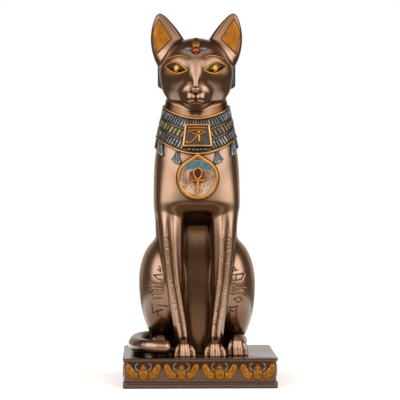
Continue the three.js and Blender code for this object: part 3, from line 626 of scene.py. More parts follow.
def bronze_finish(name, bright, rubbed_and_highlight, dark, rough, reach=0, coat=1.0, tail=False):
    """Cold-cast bronze, polished, with a dark wash in its hollows.

    With a reach it reads the notes of a shaped skin, paints shade where something is that near and where the skin
    notes it, and paints highlights on the legs' ridges.
    """
    shaped = reach > 0
    made = Finish(name, Coat_Roughness=0.1, Coat_IOR=1.6)
    patches = made.grain(60, 3, 0.6)
    fine = made.grain(900, 2, 0.5)
    wash = made.step(made.crevice(1.6), 0.4, 0.88, 1.0, 0.0)
    if shaped:
        deep = made.step(made.noted("hollow"), 0.25, 0.75)
        # The strokes' dark note, which also carries painted shade in the legs' ridge grooves.
        ink = made.noted("ink")
        wash = made.maths("MAXIMUM", made.maths("MAXIMUM", wash, deep), ink)
    wash = made.maths("MULTIPLY", wash, made.step(patches, 0.2, 0.75, 1.0, 0.85), True)
    base = made.mix(made.step(patches, 0.35, 0.7), value_of(bright), value_of(tuple(c * 0.86 for c in bright)))
    if shaped:
        crest = made.step(made.noted("crest"), 0.25, 0.8)
        base = made.mix(made.maths("MULTIPLY", crest, 0.5), base, value_of(rubbed_and_highlight))
        # Painted shade: darker, warmer bronze wherever something lies within reach, and where the skin notes shade.
        shade = made.maths("MAXIMUM", made.step(made.crevice(reach), 0.3, 0.9, 0.7, 0.0), made.noted("shade"))
        painted_shade_tone = (bright[0] * 0.26, bright[1] * 0.21, bright[2] * 0.17)
        base = made.mix(shade, base, value_of(painted_shade_tone))
        # Painted highlight: the legs' ridges take the lighter bronze, and are less metallic so they stay light from
        # any side.
        ridge = made.maths("MULTIPLY", made.noted("ridge"), 0.8)
        base = made.mix(ridge, base, value_of(rubbed_and_highlight))
    if tail:
        for place, half, colour in TAIL_BANDS:
            run = made.noted("tail_run")
            band = made.maths("MULTIPLY", made.step(run, place - half - 0.3, place - half + 0.1),
                              made.step(run, place + half - 0.1, place + half + 0.3, 1.0, 0.0))
            base = made.mix(made.maths("MULTIPLY", band, 0.9), base, value_of(colour))
    base = made.mix(wash, base, value_of(dark))
    made.set("Base Color", base)
    made.set("Metallic", made.step(ridge, 0.0, 0.8, 0.95, 0.7) if shaped else 0.95)
    # No coat where the wash and the painted shade lie.
    wash_and_painted_shade = made.maths("MAXIMUM", wash, shade) if shaped else wash
    made.set("Coat Weight", made.step(wash_and_painted_shade, 0.0, 0.6, coat, 0.0))
    made.set("Roughness", made.maths("ADD", made.step(wash, 0.0, 1.0, rough, 0.5),
                                     made.step(patches, 0.3, 0.8, -0.03, 0.05)))
    made.bump(fine, 0.06, 0.05)
    return made.material


def gold_finish(name, colour, dark, ribs=None, speckle=0.0):
    """Metallic gold paint with a brown wash, darker between its ribs where it has some."""
    made = Finish(name, Metallic=0.95)
    patches = made.grain(250, 4, 0.6)
    wash = made.step(made.crevice(0.9), 0.35, 0.9, 1.0, 0.0)
    if ribs:
        wash = made.maths("MAXIMUM", wash, made.step(made.noted(ribs), -0.8, 0.3, 0.75, 0.0))
    if speckle:
        wash = made.maths("MAXIMUM", wash, made.step(made.grain(1300, 2, 0.6), 0.52, 0.64, 0.0, speckle))
    tone = made.mix(made.step(patches, 0.3, 0.75), value_of(colour), value_of(tuple(c * 0.7 for c in colour)))
    made.set("Base Color", made.mix(wash, tone, value_of(dark)))
    made.set("Roughness", made.step(patches, 0.2, 0.8, 0.32, 0.46))
    made.bump(made.grain(1600, 3, 0.6), 0.15, 0.05)
    return made.material


def wash_finish(name):
    """The dark brown wash that lies in drawn lines."""
    made = Finish(name, Metallic=0.1)
    patches = made.grain(500, 3, 0.6)
    made.set("Base Color", made.mix(patches, value_of(WASH), value_of(linear(24, 15, 10))))
    made.set("Roughness", made.step(patches, 0.3, 0.7, 0.5, 0.7))
    return made.material


def enamel_finish(name, colour, light, dark, crest_share=0.8, coat=0.35):
    """Satin paint, dark between the raised parts and rubbed light on them."""
    made = Finish(name, Metallic=0.15, Coat_Weight=coat, Coat_Roughness=0.2)
    patches = made.grain(320, 4, 0.7)
    wash = made.step(made.crevice(1.1), 0.35, 0.85, 1.0, 0.0)
    crest = made.step(made.noted("crest"), 0.45, 0.98)
    crest = made.maths("MULTIPLY", crest, made.step(patches, 0.38, 0.62, 0.05, crest_share))
    base = made.mix(made.step(patches, 0.35, 0.65), value_of(colour), value_of(tuple(c * 0.45 for c in colour)))
    base = made.mix(crest, base, value_of(light))
    # The tone note darkens the paint: unevenly from bead to bead, and as painted shade on the collar's side beads.
    base = made.mix(made.maths("MULTIPLY", made.noted("tone"), 0.75), base, value_of(dark))
    made.set("Base Color", made.mix(wash, base, value_of(dark)))
    made.set("Roughness", made.step(patches, 0.3, 0.7, 0.3, 0.5))
    made.bump(made.grain(1500, 3, 0.6), 0.2, 0.05)
    return made.material


def linear(r, g, b):
    """A linear colour from 0-255 values as seen on a screen."""
    def one(v):
        v /= 255
        return v / 12.92 if v <= 0.04045 else ((v + 0.055) / 1.055) ** 2.4
    return (one(r), one(g), one(b))


def tint(name):
    """A colour from the panel."""
    return tuple(getattr(bpy.context.scene.statue_colours, name))


# Lighter bronze: rubbed wear on the crests, and the painted highlight on the legs' ridges.
BRONZE_RUBBED_AND_HIGHLIGHT = linear(186, 148, 116)
BRONZE_DARK = linear(42, 24, 12)
GOLD_BROWN = linear(164, 102, 26)
WASH = linear(36, 20, 10)
PALE = linear(200, 190, 168)
TAIL_BANDS = (
    (80.3, 1.0, linear(100, 100, 104)), (82.6, 0.8, linear(100, 28, 16)), (84.5, 0.8, linear(56, 74, 30)),
)


# Blocks that the cat is fused from.

def ball_block(centre, radii, side=1, lower=None):
    made = globe(32, 20)
    p = read(made)
    if lower:
        p[:, 2] = np.where(p[:, 2] < 0, p[:, 2] * lower / radii[2], p[:, 2])
    write(made, p * radii + (side * centre[0], centre[1], centre[2]))
    return made


def column_block(section, low, high, side=1):
    """A closed column whose section at each height is given."""
    made = globe(48, 40)
    p = read(made)
    z = low + (high - low) * (np.arcsin(np.clip(p[:, 2], -1, 1)) / math.pi + 0.5)
    across = np.hypot(p[:, 0], p[:, 1])
    across = np.where(across < 1e-4, 1.0, across)
    at_pole = across == 1.0
    middle_x, half, middle_y, deep = section(z)
    x = middle_x + np.where(at_pole, 0, p[:, 0] / across) * half
    y = middle_y + np.where(at_pole, 0, p[:, 1] / across) * deep
    write(made, np.stack([side * x, y, z], axis=1))
    return made


def trunk_column(z):
    half, middle, deep = trunk_section(z)
    return 0.0, half, middle, deep


def sculpt(blocks, name, voxel, field):
    """Fuses blocks into one skin and draws it onto the form."""
    made = merge(blocks, name)
    apply(made, "REMESH", mode="VOXEL", voxel_size=voxel * MM)
    write(made, settle(read(made), field))
    apply(made, "SMOOTH", factor=0.5, iterations=3)
    write(made, settle(read(made), field))
    return made


def refine(obj, near, rounds=2):
    """Subdivides the faces whose centres are near, given as a test of places."""
    for _ in range(rounds):
        mesh = obj.data
        centres = np.empty(len(mesh.polygons) * 3, np.float32)
        mesh.polygons.foreach_get("center", centres)
        chosen = near(centres.reshape(-1, 3) / MM)
        pick(obj)
        bpy.ops.object.mode_set(mode="EDIT")
        bpy.ops.mesh.select_mode(type="FACE")
        bpy.ops.mesh.select_all(action="DESELECT")
        bpy.ops.object.mode_set(mode="OBJECT")
        mesh.polygons.foreach_set("select", chosen)
        bpy.ops.object.mode_set(mode="EDIT")
        bpy.ops.mesh.subdivide(number_cuts=1)
        bpy.ops.object.mode_set(mode="OBJECT")


def note_form(obj, field, points, reaches):
    """Notes how hollow and how crested the form is at each vertex."""
    g = gradient(field, points)
    normal = g / np.maximum(np.linalg.norm(g, axis=1), 1e-6)[:, None]
    hollow = np.zeros(len(points))
    for reach in reaches:
        hollow += np.clip(1 - field(*(points + normal * reach).T) / reach, 0, 1) / len(reaches)
    crest = np.zeros(len(points))
    for reach in (1.0, 2.0):
        crest += np.clip(1 + field(*(points - normal * reach).T) / reach, 0, 1) / 2
    note(obj, "hollow", hollow)
    note(obj, "crest", crest)
    return normal


def stroke_distance(points, strokes):
    """Distance on the elevation to the nearest of some strokes."""
    x, z = points[:, 0], points[:, 2]
    best = np.full(len(points), 1e3)
    for stroke in strokes:
        for (ax, az), (bx, bz) in zip(stroke, stroke[1:]):
            dx, dz = bx - ax, bz - az
            t = np.clip(((x - ax) * dx + (z - az) * dz) / (dx * dx + dz * dz), 0, 1)
            best = np.minimum(best, np.hypot(x - ax - t * dx, z - az - t * dz))
    return best


def engrave(obj, points, normal, distance, width, depth, ink=0.0):
    """Sinks strokes into the skin and notes their dark lines, together with any painted shade given for the grooves.
    """
    cut = np.clip(1 - (distance / width) ** 2, 0, 1)
    write(obj, points - normal * (depth * cut)[:, None])
    note(obj, "ink", np.maximum(np.clip(1.5 * (1 - distance / (width * 1.15)), 0, 1), ink))


# Carved strokes: abstract bars, hooks and loops, as (x, z) on the elevation.
LEFT_HAUNCH_STROKES = [
    [(-22.6, 62.0), (-20.6, 60.6), (-21.4, 63.6)],
    [(-24.6, 58.6), (-20.2, 59.2)], [(-24.6, 58.6), (-22.6, 56.8), (-20.2, 56.2)],
    [(-27.2, 54.6), (-19.8, 53.9)], [(-27.4, 52.6), (-19.4, 52.2)],
    [(-27.4, 52.6), (-26.6, 49.6), (-24.9, 51.2), (-19.6, 50.6)],
    [(-25.4, 48.4), (-20.6, 48.9)], [(-24.8, 46.4), (-20.0, 46.8)],
    [(-25.6, 43.6), (-25.2, 38.4), (-19.6, 40.4)], [(-22.4, 42.8), (-16.6, 42.2)],
    [(-22.6, 40.2), (-22.2, 36.4)],
]
RIGHT_HAUNCH_STROKES = [
    [(17.6, 61.0), (20.6, 61.6)], [(18.2, 63.6), (19.4, 61.6)],
    [(17.2, 58.9), (24.2, 59.4), (22.4, 56.2), (17.2, 55.9)], [(19.6, 59.0), (19.2, 56.0)],
    [(17.4, 54.2), (20.6, 53.0), (17.6, 52.0)],
    [(16.6, 50.4), (24.8, 51.6), (24.8, 48.4), (23.0, 49.2), (16.4, 49.0)],
    [(18.2, 46.2), (21.6, 47.2), (23.0, 45.6), (20.4, 44.2), (18.2, 46.2)],
    [(15.8, 41.2), (20.6, 42.2)], [(15.8, 38.4), (15.8, 31.2)], [(19.6, 42.0), (19.6, 31.0)],
    [(16.2, 39.8), (18.6, 39.0)],
]
LEFT_LEG_STROKES = [
    [(-19.4, 78.6), (-17.2, 79.3), (-16.8, 77.6)], [(-19.2, 76.0), (-17.2, 76.3)],
    [(-18.8, 73.6), (-17.0, 74.0)], [(-17.6, 66.6), (-16.4, 66.8)], [(-15.4, 55.4), (-14.2, 54.6)],
    [(-14.4, 44.6), (-12.8, 44.2)], [(-13.2, 41.4), (-12.0, 41.1)], [(-12.0, 34.4), (-10.6, 34.1)],
]
RIGHT_LEG_STROKES = [
    [(12.6, 78.4), (13.6, 79.4), (15.8, 79.2), (16.6, 77.4), (15.6, 72.8), (13.2, 72.2), (12.6, 78.4)],
    [(13.4, 76.9), (15.8, 76.9)], [(13.6, 74.6), (15.2, 74.6)],
    [(10.8, 69.6), (11.8, 67.6)], [(14.0, 66.4), (15.2, 65.8)], [(9.6, 56.6), (10.8, 56.6)],
    [(11.8, 50.6), (13.2, 50.4)], [(8.6, 40.2), (10.0, 40.0)], [(7.6, 33.6), (8.8, 32.6)],
]
MOUTH_STROKES = [
    [(-7.7, 151.8), (-5.6, 150.9), (-3.6, 150.4), (-1.8, 150.7), (0.0, 151.5),
     (1.8, 150.7), (3.6, 150.4), (5.6, 150.9), (7.7, 151.8)],
    [(0.0, 151.5), (0.0, 155.6)],
    [(-3.3, 157.0), (-2.7, 156.2), (-1.9, 156.5)], [(3.3, 157.0), (2.7, 156.2), (1.9, 156.5)],
]


class STATUE_OT_body(bpy.types.Operator):
    """Shape the cat's body below the collar, with its tail and carved strokes"""

    bl_idname = "statue.body"
    bl_label = "Body"

    def execute(self, context):
        sizes = context.scene.statue_sizes
        blocks = [column_block(trunk_column, 11, NECK_CUT + 5)]
        for side in (-1, 1):
            blocks.append(ball_block(HAUNCH_CENTRE, HAUNCH_RADII, side, HAUNCH_LOWER))
            leg = FORELEG[:, (1, 2, 0)] * (side, 1, 1)
            leg[:, 1] += FORELEG[:, 3]
            blocks.append(wire(leg, FORELEG[:, 3]))
            blocks.append(wire(leg + (0, 6, 0), FORELEG[:, 3] * 0.9))
            foot = [(side * x, y, z) for x, y, z in HIND_FOOT[:2]]
            blocks.append(wire(foot, HIND_FOOT[2:]))
            for p in (FORE_PAW, HIND_PAW):
                centre = (p["x"], p["front"] + p["long"] * 0.4, PLINTH_HEIGHT + 2)
                blocks.append(ball_block(centre, (p["half"], p["long"] * 0.5, p["high"] - 2), side))
        body = merge(blocks, "cat_body")
        p = read(body)
        p[:, 0] += lean(p[:, 2])
        write(body, p)
        rope = wire(TAIL_LINE, np.linspace(TAIL_ROOT_RADIUS, TAIL_TIP_RADIUS, len(TAIL_LINE)))
        tip = ball_block(TAIL[-1], (TAIL_TIP_RADIUS,) * 3)
        voxel = sizes.body_voxel / MM * 1
        body = sculpt([body, rope, tip], "cat_body", voxel, lower_cat)
        strokes = LEFT_HAUNCH_STROKES + RIGHT_HAUNCH_STROKES + LEFT_LEG_STROKES + RIGHT_LEG_STROKES

        def by_strokes(p):
            return (stroke_distance(p, strokes) < 1.1) & (p[:, 1] < 4) & (p[:, 2] > 28)

        def by_legs(p):
            leg = (p[:, 1] < -19) & (p[:, 2] < 92) & (np.abs(p[:, 0] + 0.8) > 4)
            return leg | ((p[:, 1] < -15) & (p[:, 2] < 30))

        refine(body, by_legs, 1)
        write(body, settle(read(body), lower_cat, 3))
        refine(body, by_strokes, 1)
        p = settle(read(body), lower_cat, 3)
        normal = note_form(body, lower_cat, p, (1.5, 3.0, 6.0))
        # Painted shade under the chest's overhang and low on the outer haunches, darkening where the floor would be
        # reflected.
        under_chest_shade = ramp(-normal[:, 2], 0.1, 0.32) * ramp(p[:, 2], 76, 82) * ramp(p[:, 2], 101, 98)
        under_chest_shade *= ramp(-np.abs(p[:, 0] + LEAN), -19, -13)
        low_haunch_shade = 0.45 * ramp(p[:, 2], 52, 34) * ramp(p[:, 1], -20, -17) * ramp(p[:, 2], 20, 26)
        note(body, "shade", np.maximum(under_chest_shade, low_haunch_shade))
        # Painted highlight along the two ridges down each foreleg.
        ax = np.abs(p[:, 0] - lean(p[:, 2]))
        across, strength = ridges(ax, p[:, 1], p[:, 2])
        strength = strength * ramp(p[:, 2], 24, 28)
        note(body, "ridge", ramp(ridge_bump(across), 0.45, 0.95) * strength)
        # Painted shade in the groove between each leg's two ridges goes into the strokes' dark note.
        away = stroke_distance(p, strokes) + np.where((normal[:, 1] < -0.12) & (p[:, 2] > 28), 0, 50)
        depth = sizes.stroke_depth / MM * (1 - 0.5 * strength)
        engrave(body, p, normal, away, sizes.stroke_width / MM / 2, depth, 0.75 * ramp(across, 0.45, 0.2) * strength)
        note(body, "tail_run", self.tail_run(p))
        hand_over(body, bronze_material("body_bronze", 16, True), stands_for=("seated_cat",))
        return {"FINISHED"}

    @staticmethod
    def tail_run(p):
        """How far along the tail each vertex is, in millimetres, and -9 off it."""
        steps = np.linalg.norm(np.diff(TAIL_LINE, axis=0), axis=1)
        along = np.concatenate([[0], np.cumsum(steps)])
        run = np.full(len(p), -9.0)
        best = np.full(len(p), 1e3)
        for i, length in enumerate(steps):
            a, b = TAIL_LINE[i], TAIL_LINE[i + 1]
            t = np.clip(((p - a) @ (b - a)) / length ** 2, 0, 1)
            gap = np.linalg.norm(p - a - t[:, None] * (b - a), axis=1)
            run = np.where(gap < best, along[i] + t * length, run)
            best = np.minimum(best, gap)
        return np.where(best < TAIL_ROOT_RADIUS + 0.4, run, -9.0)


class STATUE_OT_head(bpy.types.Operator):
    """Shape the cat's head, neck and ears"""

    bl_idname = "statue.head"
    bl_label = "Head"

    def execute(self, context):
        sizes = context.scene.statue_sizes
        blocks = [ball_block(*SKULL), ball_block(*JAW)]
        blocks += [ball_block(*NOSE), wire(BRIDGE[:2], BRIDGE[2:])]
        for side in (-1, 1):
            blocks.append(ball_block(*MUZZLE, side))
            blocks.append(column_block(ear_section, EAR_BASE, EAR_TIP, side))
        made = merge(blocks, "cat_head")
        write(made, from_head(read(made)))
        neck = column_block(trunk_column, NECK_CUT - 5, TRUNK_TOP)
        p = read(neck)
        p[:, 0] += lean(p[:, 2])
        write(neck, p)
        voxel = sizes.head_voxel / MM * 1
        made = sculpt([made, neck], "cat_head", voxel, upper_cat)

        def in_head(p):
            q = p.copy()
            q[:, 0], q[:, 1] = to_head(p[:, 0] - lean(EYE_PLACE[1]), p[:, 1])
            return q

        def by_mouth(p):
            return (stroke_distance(in_head(p), MOUTH_STROKES) < 0.9) & (p[:, 1] < -18)

        refine(made, by_mouth, 1)
        p = settle(read(made), upper_cat, 3)
        normal = note_form(made, upper_cat, p, (0.8, 1.6))
        q = in_head(p)
        # Painted shade on the neck below the jaw, darker towards the sides, and on the ears' upper part.
        neck = ramp(head_form(*q.T) - trunk(np.abs(p[:, 0] - lean(p[:, 2])), p[:, 1], p[:, 2]), 0.2, 1.5)
        ears = 0.4 * ramp(p[:, 2], 178, 184)
        note(made, "shade", np.maximum(neck * (0.3 + 0.6 * ramp(np.abs(q[:, 0]), 6, 14)), ears))
        note(made, "ridge", np.zeros(len(p)))
        away = stroke_distance(q, MOUTH_STROKES) + np.where(p[:, 1] < -18, 0, 50)
        engrave(made, p, normal, away, 0.42, 0.35)
        hand_over(made, bronze_material("head_bronze", 5), stands_for=("seated_cat",))
        return {"FINISHED"}


def bronze_material(name, reach, tail=False):
    return bronze_finish(name, tint("bronze"), BRONZE_RUBBED_AND_HIGHLIGHT, BRONZE_DARK, 0.24, reach, tail=tail)


class STATUE_OT_ears(bpy.types.Operator):
    """Lay the ribbed gold panels in the ears"""

    bl_idname = "statue.ears"
    bl_label = "Ear panels"

    def execute(self, context):
        panels, outlines = [], []
        for side in (-1, 1):
            bpy.ops.object.select_all(action="DESELECT")
            bpy.ops.mesh.primitive_grid_add(x_subdivisions=50, y_subdivisions=90, size=2 * MM)
            panel = context.active_object
            p = read(panel)
            at = panel_place((p[:, 0] + 1) / 2, (p[:, 1] + 1) / 2)
            rib = np.cos((at[:, 1] * 0.8 + at[:, 0] * 0.6) * 2 * math.pi / EAR_RIB_PITCH)
            away = np.minimum(1 - np.abs(p[:, 0]), (1 - np.abs(p[:, 1])) * 1.8) * 3.5
            lift = 0.22 * np.clip(away / 0.4, 0, 1) ** 0.5 + 0.08 * rib * np.clip(away, 0, 1)
            write(panel, self.on_ear(side, at, lift))
            note(panel, "rib", rib * np.clip(away, 0, 1))
            apply(panel, "SOLIDIFY", thickness=0.9 * MM, offset=-1 if side > 0 else 1)
            panels.append(clean_shell(panel))
            turn = np.linspace(0, 4, 80, endpoint=False)
            s = np.interp(turn % 4, (0, 1, 2, 3, 4), (0, 1, 1, 0, 0))
            t = np.interp(turn % 4, (0, 1, 2, 3, 4), (0, 0, 1, 1, 0))
            outlines.append(wire(self.on_ear(side, panel_place(s, t), 0.12), 0.24, closed=True))
            fold = smooth_line(EAR_FOLD, 8)
            taper = np.sin(np.linspace(0.06, 0.94, len(fold)) * math.pi) ** 0.4
            outlines.append(wire(self.on_ear(side, fold, -0.05), 0.2 * taper))
        made = merge(panels, "ear_panels")
        gold = gold_finish("ear_gold", GOLD_BROWN, WASH, "rib")
        hand_over(made, gold, 40)
        made = merge(outlines, "ear_lines")
        hand_over(made, wash_finish("line_wash"))
        return {"FINISHED"}

    @staticmethod
    def on_ear(side, at, lift):
        """Places on the front of an ear, lifted off it."""
        middle, half, centre, deep = ear_section(at[:, 1])
        n = EAR_ROUNDNESS
        across = np.clip(np.abs((at[:, 0] - middle) / half), 0, 0.98) ** n
        y = centre - deep * (1 - across) ** (1 / n) - lift
        return from_head(np.stack([side * at[:, 0], y, at[:, 1]], axis=1))


def panel_place(s, t):
    """A place on the ear panel, from 0 to 1 across and up, its outer edge bowed."""
    tip, inner, bottom, outer = EAR_PANEL
    s, t = s[:, None], t[:, None]
    low = bottom + (outer - bottom) * s
    high = inner + (tip - inner) * s
    return low + (high - low) * t + np.array((0.5, 0.1)) * 4 * t * (1 - t) * s


def almond(angles):
    """The eye's outline on the elevation of the head."""
    upper = np.sin(angles) >= 0
    x = EYE_LENGTH * 0.45 * np.cos(angles)
    lid = np.where(upper, 3.3, -2.7) * np.clip(1 - np.abs(np.cos(angles)) ** 1.7, 0, 1)
    return EYE_PLACE[0] + x, EYE_PLACE[1] + lid + EYE_TILT * x


def eye_seat(x, z):
    """A smooth surface through the head's front along the eye's outline."""
    rim_x, rim_z = almond(np.linspace(0, 2 * math.pi, 24, endpoint=False))
    rim_y = front_of(head_form, rim_x, rim_z)

    def terms(a, b):
        a, b = a - EYE_PLACE[0], b - EYE_PLACE[1]
        return np.stack([np.ones_like(a), a, b, a * a, a * b], axis=-1)

    fitted = np.linalg.lstsq(terms(rim_x, rim_z), rim_y, rcond=None)[0]
    return terms(np.asarray(x, float), np.asarray(z, float)) @ fitted


def relief(outline, rise, back, segments=64, rings=40):
    """A closed form over a star-shaped outline about the origin, standing out by rise.

    outline gives the reach at an angle, rise the height at a place (x, z) and its share
    of the way to the outline.
    """
    made = globe(segments, rings)
    p = read(made)
    theta = np.arccos(np.clip(p[:, 2], -1, 1)) / (math.pi / 2)
    share = 1 - np.abs(1 - theta)
    angle = np.arctan2(p[:, 1], p[:, 0])
    reach = outline(angle) * share
    x, z = reach * np.cos(angle), reach * np.sin(angle)
    out = np.where(theta < 1.001, rise(x, z, share), -back)
    write(made, np.stack([x, -out, z], axis=1))
    return made, theta < 1.001, share


class STATUE_OT_eyes(bpy.types.Operator):
    """Set the eyeballs, irises and gold rims"""

    bl_idname = "statue.eyes"
    bl_label = "Eyes"

    def execute(self, context):
        rims, balls, irises = [], [], []
        angles = np.linspace(0, 2 * math.pi, 64, endpoint=False)
        for side in (-1, 1):
            x, z = almond(angles)
            y = eye_seat(x, z) - 0.45
            rim = np.stack([side * x, y, z], axis=1)
            width = 0.4 + 0.1 * np.abs(np.sin(angles))
            rims.append(wire(from_head(rim), width, closed=True))
            ball = globe(48, 24)
            p = read(ball)
            theta = np.arccos(np.clip(p[:, 2], -1, 1)) / (math.pi / 2)
            share = 1 - np.abs(1 - theta)
            turn = np.arctan2(p[:, 1], p[:, 0])
            ax, az = almond(turn)
            ax = EYE_PLACE[0] + (ax - EYE_PLACE[0]) * share
            az = EYE_PLACE[1] + (az - EYE_PLACE[1]) * share
            out = np.where(theta < 1.001, 0.35 + 1.0 * (1 - share ** 2), -1.5)
            write(ball, from_head(np.stack([side * ax, eye_seat(ax, az) - out, az], axis=1)))
            balls.append(clean_shell(ball))
            iris = globe(32, 16)
            p = read(iris) * (1.45, 0.7, 1.85)
            centre = (EYE_PLACE[0] - 0.15, 0, EYE_PLACE[1] - 0.1)
            at = eye_seat(centre[0], centre[2]) - 1.15
            p += (centre[0], 0, centre[2])
            p[:, 1] += at + eye_seat(p[:, 0], p[:, 2]) - eye_seat(centre[0], centre[2])
            p[:, 0] *= side
            write(iris, from_head(p))
            irises.append(clean_shell(iris))
        rims = merge(rims, "eye_rims")
        hand_over(rims, gold_finish("rim_gold", tint("gold"), WASH))
        balls = merge(balls, "eyeballs")
        dark = Finish("eye_dark", Metallic=0.9)
        tone = dark.mix(dark.step(dark.grain(260), 0.35, 0.65), value_of(linear(34, 24, 16)),
                        value_of(linear(72, 60, 44)))
        dark.set("Base Color", tone).set("Roughness", 0.3)
        hand_over(balls, dark.material)
        irises = merge(irises, "irises")
        hand_over(irises, gold_finish("iris_gold", linear(206, 138, 46), linear(110, 62, 18)))
        return {"FINISHED"}


class STATUE_OT_brow(bpy.types.Operator):
    """Draw the brow lines and set the ornament on the brow"""

    bl_idname = "statue.brow"
    bl_label = "Brow"

    def execute(self, context):
        lines, wings = [], []
        for side in (-1, 1):
            path = smooth_line(BROW_LINE, 6)
            y = front_of(head_form, path[:, 0], path[:, 1]) - 0.05
            line = np.stack([side * path[:, 0], y, path[:, 1]], axis=1)
            taper = np.sin(np.linspace(0.12, 0.93, len(path)) * math.pi) ** 0.5
            lines.append(wire(from_head(line), 0.36 * taper))
            wing = globe(24, 16)
            p = read(wing) * (1.95, 1.1, 1.2)
            p[:, 2] += 0.1 * p[:, 0] ** 2 - 0.2
            p += (4.1, 0, WING_HEIGHT)
            p[:, 1] += front_of(head_form, p[:, 0], np.full(len(p), WING_HEIGHT)) + 0.1
            p[:, 0] *= side
            write(wing, from_head(p))
            wings.append(clean_shell(wing))
        lines = merge(lines, "brow_lines")
        hand_over(lines, gold_finish("brow_gold", tint("gold"), WASH))
        wings = merge(wings, "brow_wings")
        note(wings, "crest", np.full(len(wings.data.vertices), 0.6))
        hand_over(wings, enamel_finish("wing_blue", linear(62, 96, 116), PALE, WASH, 0.5))

        front = front_of(head_form, [0.0], [BEAD_HEIGHT])[0]
        bead = globe(32, 20)
        write(bead, from_head(read(bead) * (2.15, 1.5, 2.15) + (0, front - 0.35, BEAD_HEIGHT)))
        red = Finish("bead_red", Coat_Weight=0.3, Coat_Roughness=0.1, Metallic=0.8)
        red.set("Base Color", red.mix(red.step(red.grain(420), 0.42, 0.6), value_of(linear(82, 26, 8)),
                                      value_of(linear(152, 66, 22)))).set("Roughness", 0.3)
        bead.name = "brow_bead"
        hand_over(bead, red.material)
        ring = [(2.35 * math.cos(a), front - 0.1, BEAD_HEIGHT + 2.35 * math.sin(a))
                for a in np.linspace(0, 2 * math.pi, 40, endpoint=False)]
        setting = wire(from_head(np.array(ring)), 0.3, closed=True)
        setting.name = "bead_setting"
        hand_over(setting, bronze_finish("setting_bronze", linear(80, 52, 30), BRONZE_RUBBED_AND_HIGHLIGHT, WASH, 0.35))

        dome = globe(32, 20)
        p = read(dome) * (2.5, 4.4, 1.9)
        cos, sin = math.cos(0.75), math.sin(0.75)
        y, z = p[:, 1] * cos - p[:, 2] * sin, p[:, 1] * sin + p[:, 2] * cos
        write(dome, from_head(np.stack([p[:, 0], y - 16.4, z + 182.6], axis=1)))
        dome.name = "brow_dome"
        hand_over(dome, gold_finish("dome_gold", linear(134, 86, 34), WASH))
        return {"FINISHED"}


class STATUE_OT_lappets(bpy.types.Operator):
    """Hang the ribbed bands behind the cheeks"""

    bl_idname = "statue.lappets"
    bl_label = "Lappets"

    def execute(self, context):
        pieces = []
        for side in (-1, 1):
            made = globe(64, 40)
            p = read(made)
            turn = np.arctan2(p[:, 1], p[:, 0])
            up = np.arcsin(np.clip(p[:, 2], -1, 1)) / (math.pi / 2)
            z = 167.4 + 8.7 * up
            short = np.clip((0.3 - (1 - np.abs(up))) / 0.3, 0, 1)
            end = np.sqrt(1 - 0.999 * short ** 2)
            rib = 1 - 0.13 * np.abs(np.sin(turn * 5)) ** 0.5 * end
            box = (np.abs(np.cos(turn)) ** 4 + np.abs(np.sin(turn)) ** 4) ** -0.25
            x = 17.6 + 3.5 * box * rib * end * np.cos(turn)
            y = 0.1 + 3.6 * box * rib * end * np.sin(turn)
            note(made, "crest", (rib - 0.87) / 0.13)
            write(made, from_head(np.stack([side * x, y, z], axis=1)))
            pieces.append(clean_shell(made))
        made = merge(pieces, "lappets")
        hand_over(made, enamel_finish("lappet_blue", linear(20, 44, 60), linear(50, 80, 92), linear(10, 12, 14), 0.3, 0.15))
        return {"FINISHED"}


# Collar: places on it are an angle round the neck, 0 in front, and a share up its band.

def collar_heights(angle):
    f = ((1 + np.cos(angle)) / 2) ** COLLAR_POWER
    return COLLAR_LOW_BACK - COLLAR_LOW_DROP * f, COLLAR_TOP_BACK - COLLAR_TOP_DROP * f


def collar_points(angle, up, out, down=0.0):
    """Places on the collar, standing out from the trunk."""
    low, top = collar_heights(angle)
    z = low + (top - low) * up - down
    half, middle, deep = trunk_section(z)
    n = TRUNK_ROUNDNESS
    across, along = np.abs(np.sin(angle)) / half, np.abs(np.cos(angle)) / deep
    reach = (across ** n + along ** n) ** (-1 / n) + out
    return np.stack([lean(z) + reach * np.sin(angle), middle - reach * np.cos(angle), z], axis=-1)


def collar_ring(name, section, segments=160):
    """A closed ring round the collar with the given (share up, out) section."""
    bpy.ops.object.select_all(action="DESELECT")
    bpy.ops.mesh.primitive_torus_add(major_segments=segments, minor_segments=len(section),
                                     major_radius=2 * MM, minor_radius=MM)
    made = bpy.context.active_object
    p = read(made)
    angle = np.arctan2(p[:, 0], -p[:, 1])
    turn = np.arctan2(p[:, 2], np.hypot(p[:, 0], p[:, 1]) - 2)
    index = np.round(turn / (2 * math.pi) * len(section)).astype(int) % len(section)
    up, out = np.array(section)[index].T
    write(made, collar_points(angle, up, out))
    made.name = name
    return clean_shell(made)


def wire_section(up, out, radius, sides=10, band=18.0):
    turns = np.arange(sides) * 2 * math.pi / sides
    return [(up + radius / band * math.sin(a), out + radius * math.cos(a)) for a in turns]


class STATUE_OT_collar(bpy.types.Operator):
    """Lay the collar's band, rims and row lines"""

    bl_idname = "statue.collar"
    bl_label = "Collar"

    def execute(self, context):
        section = [(0.5, 0.45), (0.75, 0.45), (1.0, 0.4), (1.0, -1.2), (0.5, -1.2), (0.0, -1.2), (0.0, 0.4),
                   (0.25, 0.45)]
        band = collar_ring("collar_band", section)
        hand_over(band, bronze_finish("band_bronze", linear(54, 38, 26), BRONZE_RUBBED_AND_HIGHLIGHT, WASH, 0.4, coat=0.3),
                  40)
        rims = merge([collar_ring("rim", wire_section(up, 0.75, 0.55)) for up in (0.0, 1.0)], "collar_rims")
        hand_over(rims, gold_finish("collar_gold", linear(200, 148, 78), WASH))
        lines = [collar_ring("line", wire_section(up, 0.75, 0.28, 8)) for up in (0.345, 0.65)]
        lines = merge(lines, "row_lines")
        hand_over(lines, bronze_finish("line_bronze", linear(126, 98, 74), BRONZE_RUBBED_AND_HIGHLIGHT, WASH, 0.35))
        return {"FINISHED"}


